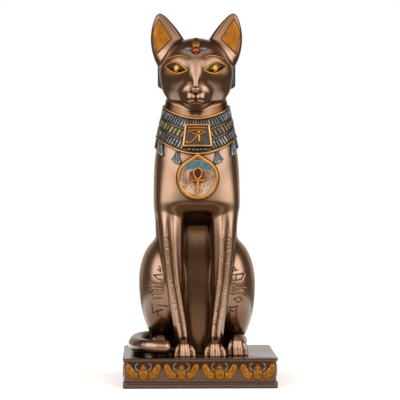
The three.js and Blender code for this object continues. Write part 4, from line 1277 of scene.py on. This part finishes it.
def collar_bead(angle, row, half, rise, tone, segments=12, rings=12):
    """One tube bead, squared at its ends, lying across its row."""
    made = globe(segments, rings)
    p = read(made)
    long = np.sign(p[:, 2]) * np.abs(p[:, 2]) ** 0.55
    wide = np.sqrt(np.clip(1 - np.abs(long) ** 6, 0, 1)) / np.maximum(np.hypot(p[:, 0], p[:, 1]), 1e-3)
    s, out = p[:, 0] * wide, -p[:, 1] * wide
    low, high = ROWS[row]
    up = (low + high) / 2 + long * (high - low) / 2 * 0.96
    slope_step = 0.02
    z0, z1 = (collar_heights(angle + d)[0] for d in (-slope_step, slope_step))
    slope = (z1 - z0) / (2 * slope_step) / 21.0
    lean_over = -(up - (low + high) / 2) * 18.0 * slope / 21.0
    write(made, collar_points(angle + s * half / 21.0 + lean_over, up, 0.45 + rise * np.maximum(out, -0.6)))
    note(made, "crest", np.clip(out, 0, 1) * (0.75 + 0.25 * np.abs(s) ** 0.5))
    note(made, "tone", np.full(len(p), tone))
    return made


class STATUE_OT_beads(bpy.types.Operator):
    """Thread the three rows of tube beads"""

    bl_idname = "statue.beads"
    bl_label = "Beads"

    def execute(self, context):
        sizes = context.scene.statue_sizes
        rows = {"blue": [], "green": [], "red": []}
        dice = np.random.default_rng(BEAD_SEED)
        for row in (0, 2):
            count = sizes.thin_beads
            for i in range(count):
                angle = 2 * math.pi * (i + 0.5) / count
                angle += dice.uniform(-0.008, 0.008)
                rise, half = dice.uniform(0.55, 0.85), THIN_BEAD_HALF * dice.uniform(0.8, 1.12)
                tone = self.tone(dice, angle)
                by_plaque = abs((angle + math.pi) % (2 * math.pi) - math.pi) < PLAQUE_REACH
                if by_plaque and row == 0:
                    continue
                if by_plaque:
                    tone = max(tone, dice.uniform(0.5, 1.3))
                rows["blue"].append(collar_bead(angle, row, half, rise, tone))
        count = sizes.wide_beads
        for i in range(count):
            angle = 2 * math.pi * (i + 0.5) / count
            if min(angle, 2 * math.pi - angle) < 0.7 * PLAQUE_REACH:
                continue
            colour = ("green", "red", "green", "red")[i % 4] if i < count / 2 else (
                ("green", "red", "green", "red")[(count - 1 - i) % 4])
            rows[colour].append(collar_bead(angle, 1, WIDE_BEAD_HALF, 0.75, self.tone(dice, angle)))
        light = {
            "blue": linear(214, 220, 208),
            "green": linear(168, 172, 98),
            "red": linear(222, 162, 144),
        }
        for colour, beads in rows.items():
            made = clean_shell(merge(beads, f"beads_{colour}"))
            finish = enamel_finish(f"bead_{colour}", tint(colour), light[colour], WASH)
            hand_over(made, finish)
        return {"FINISHED"}

    @staticmethod
    def tone(dice, angle):
        """How dark a bead is painted: uneven, and darker towards the sides as painted shade."""
        return np.clip(dice.uniform(-0.4, 0.9) + 0.35 * abs(math.sin(angle)), 0, 1)


def plaque_points(x, z, out):
    """Places on the plaque, which leans with the collar."""
    top = collar_points(np.array(0.0), 0.0, 0.8, -(PLAQUE["top"] - collar_heights(0.0)[0]))
    bottom = collar_points(np.array(0.0), 0.0, 0.8, -(PLAQUE["bottom"] - collar_heights(0.0)[0]))
    tall = PLAQUE["top"] - PLAQUE["bottom"]
    share = np.asarray(z, float) / tall
    middle = (top + bottom) / 2
    y = middle[1] + (top[1] - bottom[1]) * share - out
    return np.stack([middle[0] + np.asarray(x, float), y, middle[2] + np.asarray(z, float)], axis=-1)


class STATUE_OT_plaque(bpy.types.Operator):
    """Set the framed plaque with its eye, and the round beads under it"""

    bl_idname = "statue.plaque"
    bl_label = "Plaque"

    def execute(self, context):
        half = (PLAQUE["top"] - PLAQUE["bottom"]) / 2
        corners = np.array([(-PLAQUE["half_top"], half), (-PLAQUE["half_bottom"], -half),
                            (PLAQUE["half_bottom"], -half), (PLAQUE["half_top"], half)])
        path = []
        for a, b in zip(corners, np.roll(corners, -1, axis=0)):
            path += [a + (b - a) * t for t in np.linspace(0, 1, 12, endpoint=False)]
        path = np.array(path) * 0.96
        frame_wire = wire(plaque_points(path[:, 0], path[:, 1], 0.75), 0.52, closed=True)
        frame_wire.name = "plaque_frame"
        hand_over(frame_wire, gold_finish("frame_gold", linear(204, 150, 78), WASH))

        bpy.ops.object.select_all(action="DESELECT")
        bpy.ops.mesh.primitive_grid_add(x_subdivisions=60, y_subdivisions=50, size=2 * MM)
        plate = context.active_object
        p = read(plate)
        wide = PLAQUE["half_bottom"] + (PLAQUE["half_top"] - PLAQUE["half_bottom"]) * (p[:, 1] + 1) / 2
        x, z = p[:, 0] * wide * 0.97, p[:, 1] * half * 0.97
        dimple = 0.07 * np.sin(x * 3.1 + 1) * np.sin(z * 2.7) + 0.05 * np.sin(x * 6.3 + z * 4.1)
        note(plate, "crest", np.clip(dimple * 9, 0, 1))
        note(plate, "tone", np.full(len(p), 0.25))
        write(plate, plaque_points(x, z, 0.45 + dimple))
        apply(plate, "SOLIDIFY", thickness=1.6 * MM, offset=-1)
        plate.name = "plaque_plate"
        clean_shell(plate)
        hand_over(plate, enamel_finish("plate_ground", linear(40, 27, 20), linear(122, 112, 98), WASH, 0.7, 0.0))

        lid = [(-5.2 + 9.4 * t, 1.5 + 1.35 * math.sin(math.pi * t)) for t in np.linspace(0, 1, 16)]
        lower = [(-3.4 + 7.4 * t, 1.5 - 1.15 * math.sin(math.pi * t)) for t in np.linspace(0, 1, 14)]
        brow = [(-5.0 + 10.2 * t, 3.5 + 0.6 * math.sin(math.pi * (0.25 + 0.6 * t))) for t in np.linspace(0, 1, 14)]
        bar = [(0.9, 0.6), (0.95, -1.5), (1.0, -3.9)]
        curl = [(0.3, 0.3), (-0.9, -1.3), (-2.4, -2.9), (-4.2, -4.0), (-5.4, -4.1), (-5.7, -3.3), (-5.0, -3.1)]
        strokes = []
        for line, radius, lift in ((lid, 0.44, 0.8), (lower, 0.4, 0.8), (brow, 0.48, 0.75), (bar, 0.68, 0.75),
                                   (curl, 0.48, 0.75)):
            xz = smooth_line(np.array(line), 3)
            taper = 0.75 + 0.25 * np.sin(np.linspace(0.1, 0.9, len(xz)) * math.pi)
            strokes.append(wire(plaque_points(xz[:, 0], xz[:, 1], lift), radius * taper))
        pupil = globe(24, 16)
        p = read(pupil) * (0.95, 0.6, 0.95)
        at = plaque_points(0.7, 1.55, 1.0)
        write(pupil, p + at)
        strokes.append(pupil)
        eye = merge(strokes, "plaque_eye")
        hand_over(eye, gold_finish("eye_gold", linear(190, 124, 44), WASH))

        beads = []
        for i in range(-2, 3):
            bead = globe(20, 14)
            at = collar_points(np.array(i * 2.5 / 24.5), 0.105, 1.0)
            write(bead, read(bead) * (0.95, 0.8, 0.72) + at)
            beads.append(bead)
        made = merge(beads, "plaque_beads")
        note(made, "crest", np.full(len(made.data.vertices), 0.55))
        hand_over(made, enamel_finish("bead_grey", linear(74, 90, 92), linear(150, 156, 142), WASH))
        return {"FINISHED"}


class STATUE_OT_drops(bpy.types.Operator):
    """Hang the flower drops under the collar"""

    bl_idname = "statue.drops"
    bl_label = "Drops"

    def execute(self, context):
        pieces, knobs = [], []
        for i in range(1, 12):
            angle = 2 * math.pi * i / 12
            bpy.ops.object.select_all(action="DESELECT")
            bpy.ops.mesh.primitive_grid_add(x_subdivisions=30, y_subdivisions=26, size=2 * MM)
            made = context.active_object
            p = read(made)
            s, t = p[:, 0], (1 - p[:, 1]) / 2
            half = 0.9 + 2.55 * t ** 1.6
            sag = 1.0 * t ** 3 * (1 - s * s)
            down = 0.5 + 6.0 * t + sag
            petals = sum(np.exp(-((s - c) / 0.11) ** 2) for c in (-0.62, 0.0, 0.62)) * np.clip(t * 3, 0, 1)
            hem = np.exp(-((t - 0.9) / 0.06) ** 2)
            body = np.clip(1 - np.abs(s) ** 5, 0, 1) ** 0.5 * np.clip((1 - t) * 9, 0, 1) ** 0.5
            raised = np.clip(petals * np.clip((0.96 - t) * 12, 0, 1) + hem * (np.abs(s) < 0.75), 0, 1)
            out = 0.15 + 0.7 * body + 0.28 * raised
            write(made, collar_points(angle + s * half / 21.5, 0.0, out, down))
            note(made, "crest", raised)
            apply(made, "SOLIDIFY", thickness=1.4 * MM, offset=-1)
            pieces.append(clean_shell(made))
            knob = globe(16, 10)
            write(knob, read(knob) * (0.85, 0.7, 0.6) + collar_points(np.array(angle), 0.0, 0.8, 0.9))
            knobs.append(knob)
        made = merge(pieces, "collar_drops")
        hand_over(made, enamel_finish("drop_blue", linear(26, 44, 62), linear(176, 184, 178), WASH, 0.9, 0.2))
        made = merge(knobs, "drop_knobs")
        note(made, "crest", np.full(len(made.data.vertices), 0.6))
        hand_over(made, enamel_finish("knob_red", linear(112, 56, 42), linear(180, 126, 104), WASH))
        return {"FINISHED"}


def teardrop(angle):
    """The medallion's reach at an angle about its middle: a disc drawn out to a point above."""
    radius = MEDALLION["radius"]
    touch = math.acos(radius / (MEDALLION["top"] - MEDALLION["middle"]))
    from_top = np.abs((np.asarray(angle) - math.pi / 2 + math.pi) % (2 * math.pi) - math.pi)
    return np.where(from_top < touch, radius / np.cos(np.minimum(from_top, touch) - touch), radius)


class STATUE_OT_medallion(bpy.types.Operator):
    """Hang the medallion with its looped cross"""

    bl_idname = "statue.medallion"
    bl_label = "Medallion"

    def execute(self, context):
        middle = MEDALLION["middle"]
        shift = lean(np.array(middle))
        front = front_of(lower_cat, [shift], [middle])[0] - 1.6
        at = np.array((shift, front, middle))
        inner = 1 - MEDALLION["rim"] * 0.55 / MEDALLION["radius"]

        field, _, _ = relief(lambda a: teardrop(a) * inner, lambda x, z, share: 0.25 + 0.35 * share ** 2, 3.5,
                             128, 110)
        p = read(field)
        self.paint(field, p[:, 0], p[:, 2])
        write(field, p + at)
        field.name = "medallion_field"
        hand_over(field, self.field_finish(), 40)

        turns = np.linspace(0, 2 * math.pi, 160, endpoint=False) + math.pi / 2
        reach = teardrop(turns) - MEDALLION["rim"] / 2
        rim = np.stack([reach * np.cos(turns), np.zeros(len(turns)), reach * np.sin(turns)], axis=1)
        made = wire(rim, MEDALLION["rim"] / 2, closed=True, rounding=4)
        p = read(made)
        p[:, 1] = p[:, 1] * 0.85 - 0.35
        write(made, p + at)
        knob = globe(24, 16)
        write(knob, read(knob) * (1.1, 0.9, 0.9) + at + (0, -0.3, MEDALLION["top"] - middle - 0.2))
        made = merge([made, knob], "medallion_rim")
        hand_over(made, gold_finish("medallion_gold", linear(196, 138, 62), WASH), 50)

        # A dark sheet just behind and beyond the medallion's edge: wash and painted shadow round it.
        outline, _, _ = relief(lambda a: teardrop(a) + 0.5, lambda x, z, share: np.full_like(x, -0.45), 3.6, 96, 12)
        write(outline, read(outline) + at)
        outline.name = "medallion_outline"
        hand_over(outline, wash_finish("outline_wash"), 50)

        loop_z, bar_z = 2.5, -1.1
        turns = np.linspace(0, 2 * math.pi, 40, endpoint=False)
        loop = np.array([(2.15 * math.sin(a) * (1 + 0.12 * math.cos(a)), -0.75, loop_z + 2.9 * math.cos(a))
                         for a in turns])
        pieces = [wire(loop + at, 0.52, closed=True)]
        bar = np.array([(x, -0.75, bar_z) for x in (-3.6, -1.5, 1.5, 3.6)])
        pieces.append(wire(bar + at, (0.68, 0.5, 0.5, 0.68)))
        stem = np.array([(0, -0.75, z) for z in (bar_z, -4.0, -7.6)])
        pieces.append(wire(stem + at, (0.72, 0.85, 1.15)))
        made = merge(pieces, "medallion_ankh")
        hand_over(made, gold_finish("ankh_gold", linear(198, 134, 58), WASH), 50)
        return {"FINISHED"}

    @staticmethod
    def paint(obj, x, z):
        """Notes the painted zones: blue above, red about the loop, a red tip, dark in the loop."""
        blue = np.clip((z - 4.4) / 0.5, 0, 1) * np.clip((9.6 - z) / 0.5, 0, 1) * np.clip(
            (7.2 - np.abs(x)) / 0.5, 0, 1)
        tip = np.clip((z - 9.4) / 0.4, 0, 1)
        red = np.clip((6.6 - np.hypot(x, (z - 1.4) * 1.15)) / 3.0, 0, 1) * (1 - blue)
        well = np.clip((1 - np.hypot(x / 1.9, (z - 2.5) / 2.7)) / 0.1, 0, 1)
        note(obj, "zone_blue", blue * (1 - tip))
        note(obj, "zone_red", np.maximum(red, tip))
        note(obj, "zone_well", well)

    @staticmethod
    def field_finish():
        made = Finish("medallion_paint", Metallic=0.2, Coat_Weight=0.4, Coat_Roughness=0.2)
        speckle = made.step(made.grain(900, 3, 0.7), 0.5, 0.6)
        tone = made.mix(made.step(made.grain(140), 0.35, 0.65), value_of(linear(138, 104, 80)),
                        value_of(linear(196, 162, 138)))
        tone = made.mix(made.maths("MULTIPLY", speckle, 0.7), tone, value_of(linear(84, 60, 44)))
        patch = made.step(made.grain(420, 3, 0.6), 0.35, 0.65)
        red = made.mix(patch, value_of(linear(104, 36, 20)), value_of(linear(158, 66, 42)))
        blue = made.mix(patch, value_of(linear(46, 96, 112)), value_of(linear(78, 124, 134)))
        ragged = made.maths("ADD", made.noted("zone_red"), made.step(made.grain(260, 4, 0.7), 0.3, 0.7, -0.45, 0.25))
        tone = made.mix(made.step(ragged, 0.35, 0.6), tone, red)
        tone = made.mix(made.noted("zone_blue"), tone, blue)
        tone = made.mix(made.noted("zone_well"), tone, value_of(linear(62, 24, 16)))
        wash = made.step(made.crevice(0.9), 0.35, 0.85, 1.0, 0.0)
        made.set("Base Color", made.mix(wash, tone, value_of(WASH))).set("Roughness", 0.4)
        made.bump(made.grain(1100, 2, 0.6), 0.3, 0.06)
        return made.material


def slab(name, low, high, inset, edge):
    """A plinth slab with rounded corners and softened edges."""
    bpy.ops.object.select_all(action="DESELECT")
    bpy.ops.mesh.primitive_cube_add(size=MM)
    made = bpy.context.active_object
    made.name = name
    size = np.array((PLINTH_WIDTH - 2 * inset, PLINTH_DEPTH - 2 * inset, high - low))
    write(made, read(made) * size + (0, 0, (low + high) / 2))
    pick(made)
    bpy.ops.object.mode_set(mode="EDIT")
    bpy.ops.mesh.select_mode(type="EDGE")
    bpy.ops.mesh.select_all(action="DESELECT")
    bpy.ops.object.mode_set(mode="OBJECT")
    for e in made.data.edges:
        a, b = (made.data.vertices[i].co for i in e.vertices)
        e.select = abs(a.z - b.z) > 0.5 * (high - low) * MM
    bpy.ops.object.mode_set(mode="EDIT")
    bpy.ops.mesh.bevel(offset=PLINTH_CORNER * MM, segments=6)
    bpy.ops.object.mode_set(mode="OBJECT")
    apply(made, "BEVEL", width=edge * MM, segments=3, limit_method="ANGLE", angle_limit=math.radians(60))
    return made


class STATUE_OT_plinth(bpy.types.Operator):
    """Build the plinth's slabs and its sunk frieze band"""

    bl_idname = "statue.plinth"
    bl_label = "Plinth"

    def execute(self, context):
        pieces = [
            slab("lower", 0, LOWER_SLAB, 0, 0.5),
            slab("band", LOWER_SLAB - 1, PLINTH_HEIGHT - 1, FRIEZE_INSET, 0.2),
            slab("upper", PLINTH_HEIGHT - UPPER_SLAB, PLINTH_HEIGHT, 0, 0.4),
        ]
        made = merge(pieces, "plinth_slabs")
        hand_over(made, bronze_finish("plinth_bronze", tint("plinth"), BRONZE_RUBBED_AND_HIGHLIGHT, BRONZE_DARK, 0.24, coat=0.5),
                  35, ("plinth",))
        return {"FINISHED"}


def star_outline(points, centre):
    """The reach of a star-shaped outline at each angle about its centre."""
    ring = smooth_line(np.vstack([points, points[:1]]) - centre, 5)
    angle = np.arctan2(ring[:, 1], ring[:, 0])
    order = np.argsort(angle)
    angle, reach = angle[order], np.hypot(*ring.T)[order]
    return lambda a: np.interp(a, angle, reach, period=2 * math.pi)


def scarab(fine):
    """One scarab facing -Y, its middle at the origin: body, wings and thin legs."""
    rings, segments = (12, 20) if fine else (6, 12)
    gold, pale = [], []

    def shell(centre, radii, share_rise):
        outline = lambda a: 1 / np.sqrt((np.cos(a) / radii[0]) ** 2 + (np.sin(a) / radii[1]) ** 2)
        made, _, _ = relief(outline, lambda x, z, s: share_rise * np.sqrt(np.clip(1 - s ** 3, 0, 1)), 0.8,
                            segments, rings)
        write(made, read(made) + (centre[0], 0, centre[1]))
        gold.append(made)

    groove = 0.18
    body, _, _ = relief(
        lambda a: 1 / (np.abs(np.cos(a) / 2.5) ** 2.6 + np.abs(np.sin(a) / 3.0) ** 2.6) ** (1 / 2.6),
        lambda x, z, s: 0.85 * np.sqrt(np.clip(1 - s ** 3, 0, 1)) - groove * np.exp(-(x / 0.25) ** 2) * (z < 1.6)
        - groove * np.exp(-((z - 1.7) / 0.25) ** 2), 0.8, segments * 2, rings * 2)
    write(body, read(body) + (0, 0, -1.3))
    gold.append(body)
    shell((0, 2.3), (1.8, 1.1), 0.75)
    shell((0, 3.6), (1.0, 0.7), 0.55)
    for side in (-1, 1):
        outline = star_outline(WING, WING_MIDDLE)

        def rise(x, z, s):
            feather = np.cos(np.hypot(x + WING_MIDDLE[0] - 3.4, z + WING_MIDDLE[1] - 5.0) * 2 * math.pi / 1.6)
            return 0.7 * np.sqrt(np.clip(1 - s ** 4, 0, 1)) + 0.1 * feather * (s < 0.85)

        wing, _, _ = relief(outline, rise, 0.8, segments * 2, rings * 2)
        p = read(wing) + (WING_MIDDLE[0], 0, WING_MIDDLE[1])
        p[:, 0] *= side
        write(wing, p)
        gold.append(clean_shell(wing))
        leg = smooth_line(np.array([(1.6, 1.2), (3.2, 1.4), (4.1, 2.8), (3.7, 4.4), (2.6, 5.0)]), 4)
        pale.append(wire(np.stack([side * leg[:, 0], np.full(len(leg), -0.2), leg[:, 1]], axis=1), 0.2,
                         rounding=1))
    return merge(gold, "scarab"), merge(pale, "scarab_legs")


class STATUE_OT_scarabs(bpy.types.Operator):
    """Line the winged scarabs round the plinth"""

    bl_idname = "statue.scarabs"
    bl_label = "Scarabs"

    def execute(self, context):
        gold, pale = scarab(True)
        middle = (LOWER_SLAB + PLINTH_HEIGHT - UPPER_SLAB) / 2 - 0.25
        copies = {gold.name: [], pale.name: []}
        for k, (count, reach) in enumerate(((4, PLINTH_DEPTH), (3, PLINTH_WIDTH)) * 2):
            turn = k * math.pi / 2
            cos, sin = math.cos(turn), math.sin(turn)
            for i in range(count):
                for part in (gold, pale):
                    pick(part)
                    bpy.ops.object.duplicate()
                    made = context.active_object
                    p = read(made) * (1, 1, 0.97)
                    x = p[:, 0] + (i - (count - 1) / 2) * SCARAB_PITCH
                    y = p[:, 1] - reach / 2 + FRIEZE_INSET
                    write(made, np.stack([x * cos - y * sin, x * sin + y * cos, p[:, 2] + middle], axis=1))
                    copies[part.name].append(made)
        for part, name, finish, slot in (
            (gold, "scarabs", gold_finish("scarab_gold", linear(150, 96, 28), WASH, None, 0.7), "gold_paint"),
            (pale, "scarab_legs_all", bronze_finish("leg_bronze", linear(128, 104, 80), BRONZE_RUBBED_AND_HIGHLIGHT, WASH,
                                                    0.4), "plinth_bronze"),
        ):
            made = merge(copies[part.name], name)
            bpy.data.objects.remove(part)
            hand_over(made, finish, 50)
        return {"FINISHED"}


class STATUE_OT_stage(bpy.types.Operator):
    """Lay the floor, set the lights and the camera"""

    bl_idname = "statue.stage"
    bl_label = "Stage"

    def execute(self, context):
        scene = context.scene
        lights = scene.statue_lights
        bpy.ops.object.select_all(action="DESELECT")
        bpy.ops.mesh.primitive_circle_add(vertices=96, radius=lights.floor, fill_type="NGON")
        floor = context.active_object
        floor.name = "floor"
        pale = Finish("floor_pale", Roughness=0.9, Emission_Strength=1.0)
        away = pale.node("ShaderNodeVectorMath", pale.place(), operation="LENGTH").outputs["Value"]
        seen = pale.node("ShaderNodeLightPath").outputs["Is Camera Ray"]
        fade = pale.maths("MULTIPLY", pale.step(away, lights.floor * 0.6, lights.floor),
                          pale.maths("SUBTRACT", 1.0, seen))
        pale.set("Emission Color", pale.mix(fade, value_of((lights.glow,) * 3), value_of((0.0,) * 3)))
        pale.set("Base Color", pale.mix(fade, value_of((0.87,) * 3), value_of((0.1,) * 3)))
        floor.data.materials.append(pale.material)
        scene.world = self.studio(lights)

        bpy.ops.object.select_all(action="DESELECT")
        bpy.ops.object.camera_add(location=(-0.0279, -0.9996, 0.123))
        camera = context.active_object
        camera.data.lens = 165.4
        camera.data.sensor_width = 36
        camera.data.clip_start = 0.01
        aim_at(camera, (0.0007, 0.0, 0.0986))
        scene.camera = camera
        scene.view_settings.view_transform = "Standard"
        return {"FINISHED"}

    @staticmethod
    def studio(lights):
        """White to the camera; in reflections, big soft boxes in a dim room."""
        world = bpy.data.worlds.new("studio")
        world.use_nodes = True
        tree = world.node_tree

        def node(kind, *links, **settings):
            made = tree.nodes.new(kind)
            for key, value in settings.items():
                setattr(made, key, value)
            for socket, link in zip(made.inputs, links):
                if hasattr(link, "is_output"):
                    tree.links.new(link, socket)
                elif link is not None:
                    socket.default_value = link
            return made.outputs[0]

        def maths(operation, *links):
            return node("ShaderNodeMath", *links, operation=operation)

        def between(value, low, high, soft):
            rise = node("ShaderNodeMapRange", value, low - soft, low + soft, interpolation_type="SMOOTHSTEP")
            fall = node("ShaderNodeMapRange", value, high - soft, high + soft, interpolation_type="SMOOTHSTEP")
            return maths("SUBTRACT", rise, fall)

        def scaled(warmth, strength):
            made = tree.nodes.new("ShaderNodeVectorMath")
            made.operation = "SCALE"
            made.inputs[0].default_value = warmth
            if hasattr(strength, "is_output"):
                tree.links.new(strength, made.inputs["Scale"])
            else:
                made.inputs["Scale"].default_value = strength
            return made.outputs[0]

        way = tree.nodes.new("ShaderNodeTexCoord").outputs["Generated"]
        split = tree.nodes.new("ShaderNodeSeparateXYZ")
        tree.links.new(way, split.inputs[0])
        east, north, up = split.outputs
        side = maths("ARCTAN2", east, maths("MULTIPLY", north, -1.0))
        colour = scaled(ROOM_TINT, lights.room)
        for az_low, az_high, el_low, el_high, side_soft, up_soft, power, warmth in STUDIO_BOXES:
            wide = between(side, math.radians(az_low), math.radians(az_high), side_soft)
            tall = between(up, math.sin(math.radians(el_low)), math.sin(math.radians(el_high)), up_soft)
            box = scaled(warmth, maths("MULTIPLY", maths("MULTIPLY", wide, tall), power))
            colour = node("ShaderNodeVectorMath", colour, box, operation="ADD")
        mixed = tree.nodes.new("ShaderNodeMix")
        mixed.data_type = "VECTOR"
        tree.links.new(tree.nodes.new("ShaderNodeLightPath").outputs["Is Camera Ray"], mixed.inputs["Factor"])
        for socket in mixed.inputs:
            if socket.type == "VECTOR" and socket.name == "A":
                tree.links.new(colour, socket)
            elif socket.type == "VECTOR" and socket.name == "B":
                socket.default_value = (1.0, 1.0, 1.0)
        result = [s for s in mixed.outputs if s.type == "VECTOR"][0]
        tree.links.new(result, tree.nodes["Background"].inputs["Color"])
        return world


def aim_at(obj, target):
    direction = Vector(target) - obj.location
    obj.rotation_euler = direction.to_track_quat("-Z", "Y").to_euler()


class StatueSizes(bpy.types.PropertyGroup):
    body_voxel: bpy.props.FloatProperty(
        name="Body detail", description="Size of the body's faces", default=0.00086, unit="LENGTH")
    head_voxel: bpy.props.FloatProperty(
        name="Head detail", description="Size of the head's faces", default=0.0005, unit="LENGTH")
    stroke_width: bpy.props.FloatProperty(
        name="Stroke width", description="Width of the carved strokes", default=0.0007, unit="LENGTH")
    stroke_depth: bpy.props.FloatProperty(
        name="Stroke depth", description="Depth of the carved strokes", default=0.0003, unit="LENGTH")
    thin_beads: bpy.props.IntProperty(
        name="Thin beads", description="Beads in each blue row of the collar", default=72, min=12)
    wide_beads: bpy.props.IntProperty(
        name="Wide beads", description="Beads in the collar's middle row", default=52, min=12)


def colour_property(name, description, colour):
    return bpy.props.FloatVectorProperty(
        name=name, description=description, subtype="COLOR", size=3, min=0.0, max=1.0, default=colour)


class StatueColours(bpy.types.PropertyGroup):
    bronze: colour_property("Bronze", "Bronze of the cat", linear(136, 99, 70))
    plinth: colour_property("Plinth", "Bronze of the plinth", linear(84, 59, 40))
    gold: colour_property("Gold", "Gold of the eye rims and brow lines", linear(192, 132, 52))
    blue: colour_property("Blue", "Paint of the blue beads", linear(40, 68, 92))
    green: colour_property("Green", "Paint of the green beads", linear(92, 118, 32))
    red: colour_property("Red", "Paint of the red beads", linear(132, 54, 42))


class StatueLights(bpy.types.PropertyGroup):
    room: bpy.props.FloatProperty(name="Room", description="Brightness of the room around", default=0.15)
    floor: bpy.props.FloatProperty(
        name="Floor", description="Radius of the lit floor", default=0.34, unit="LENGTH")
    glow: bpy.props.FloatProperty(name="Floor glow", description="Light given by the floor", default=0.3)


NEUTRAL = (1.0, 1.0, 1.0)
ROOM_TINT = (1.0, 0.74, 0.52)

# Soft boxes round the statue: from and to azimuth and elevation, softness
# sideways and up, brightness, tint.
STUDIO_BOXES = [
    (-90, -24, 4, 56, 0.3, 0.2, 3.3, NEUTRAL), (24, 90, 4, 56, 0.3, 0.2, 3.3, NEUTRAL),
    (-24, 24, 14, 56, 0.3, 0.2, 2.0, NEUTRAL),
    (168, 190, -4, 40, 0.06, 0.1, 0.55, NEUTRAL), (-190, -168, -4, 40, 0.06, 0.1, 0.55, NEUTRAL),
    (140, 168, -4, 30, 0.1, 0.1, 0.35, ROOM_TINT), (-168, -140, -4, 30, 0.1, 0.1, 0.35, ROOM_TINT),
]


PIECES = (
    STATUE_OT_body, STATUE_OT_head, STATUE_OT_ears, STATUE_OT_eyes, STATUE_OT_brow, STATUE_OT_lappets,
    STATUE_OT_collar, STATUE_OT_beads, STATUE_OT_plaque, STATUE_OT_drops, STATUE_OT_medallion,
    STATUE_OT_plinth, STATUE_OT_scarabs, STATUE_OT_stage,
)


class STATUE_PT_panel(bpy.types.Panel):
    """Lists the statue's sizes, lights and pieces"""

    bl_idname = "STATUE_PT_panel"
    bl_label = "Bastet Statue"
    bl_space_type = "VIEW_3D"
    bl_region_type = "UI"
    bl_category = "Statue"

    def draw(self, context):
        layout = self.layout
        for group in (context.scene.statue_sizes, context.scene.statue_colours, context.scene.statue_lights):
            box = layout.box()
            for name in group.__annotations__:
                box.prop(group, name)
        for piece in PIECES:
            layout.operator(piece.bl_idname)


CLASSES = (StatueSizes, StatueColours, StatueLights, *PIECES, STATUE_PT_panel)


def register():
    for cls in CLASSES:
        bpy.utils.register_class(cls)
    bpy.types.Scene.statue_sizes = bpy.props.PointerProperty(type=StatueSizes)
    bpy.types.Scene.statue_colours = bpy.props.PointerProperty(type=StatueColours)
    bpy.types.Scene.statue_lights = bpy.props.PointerProperty(type=StatueLights)


def unregister():
    del bpy.types.Scene.statue_lights
    del bpy.types.Scene.statue_colours
    del bpy.types.Scene.statue_sizes
    for cls in reversed(CLASSES):
        bpy.utils.unregister_class(cls)


def main():
    register()
    for piece in PIECES:
        group, name = piece.bl_idname.split(".")
        getattr(getattr(bpy.ops, group), name)()


if __name__ == "__main__":
    main()
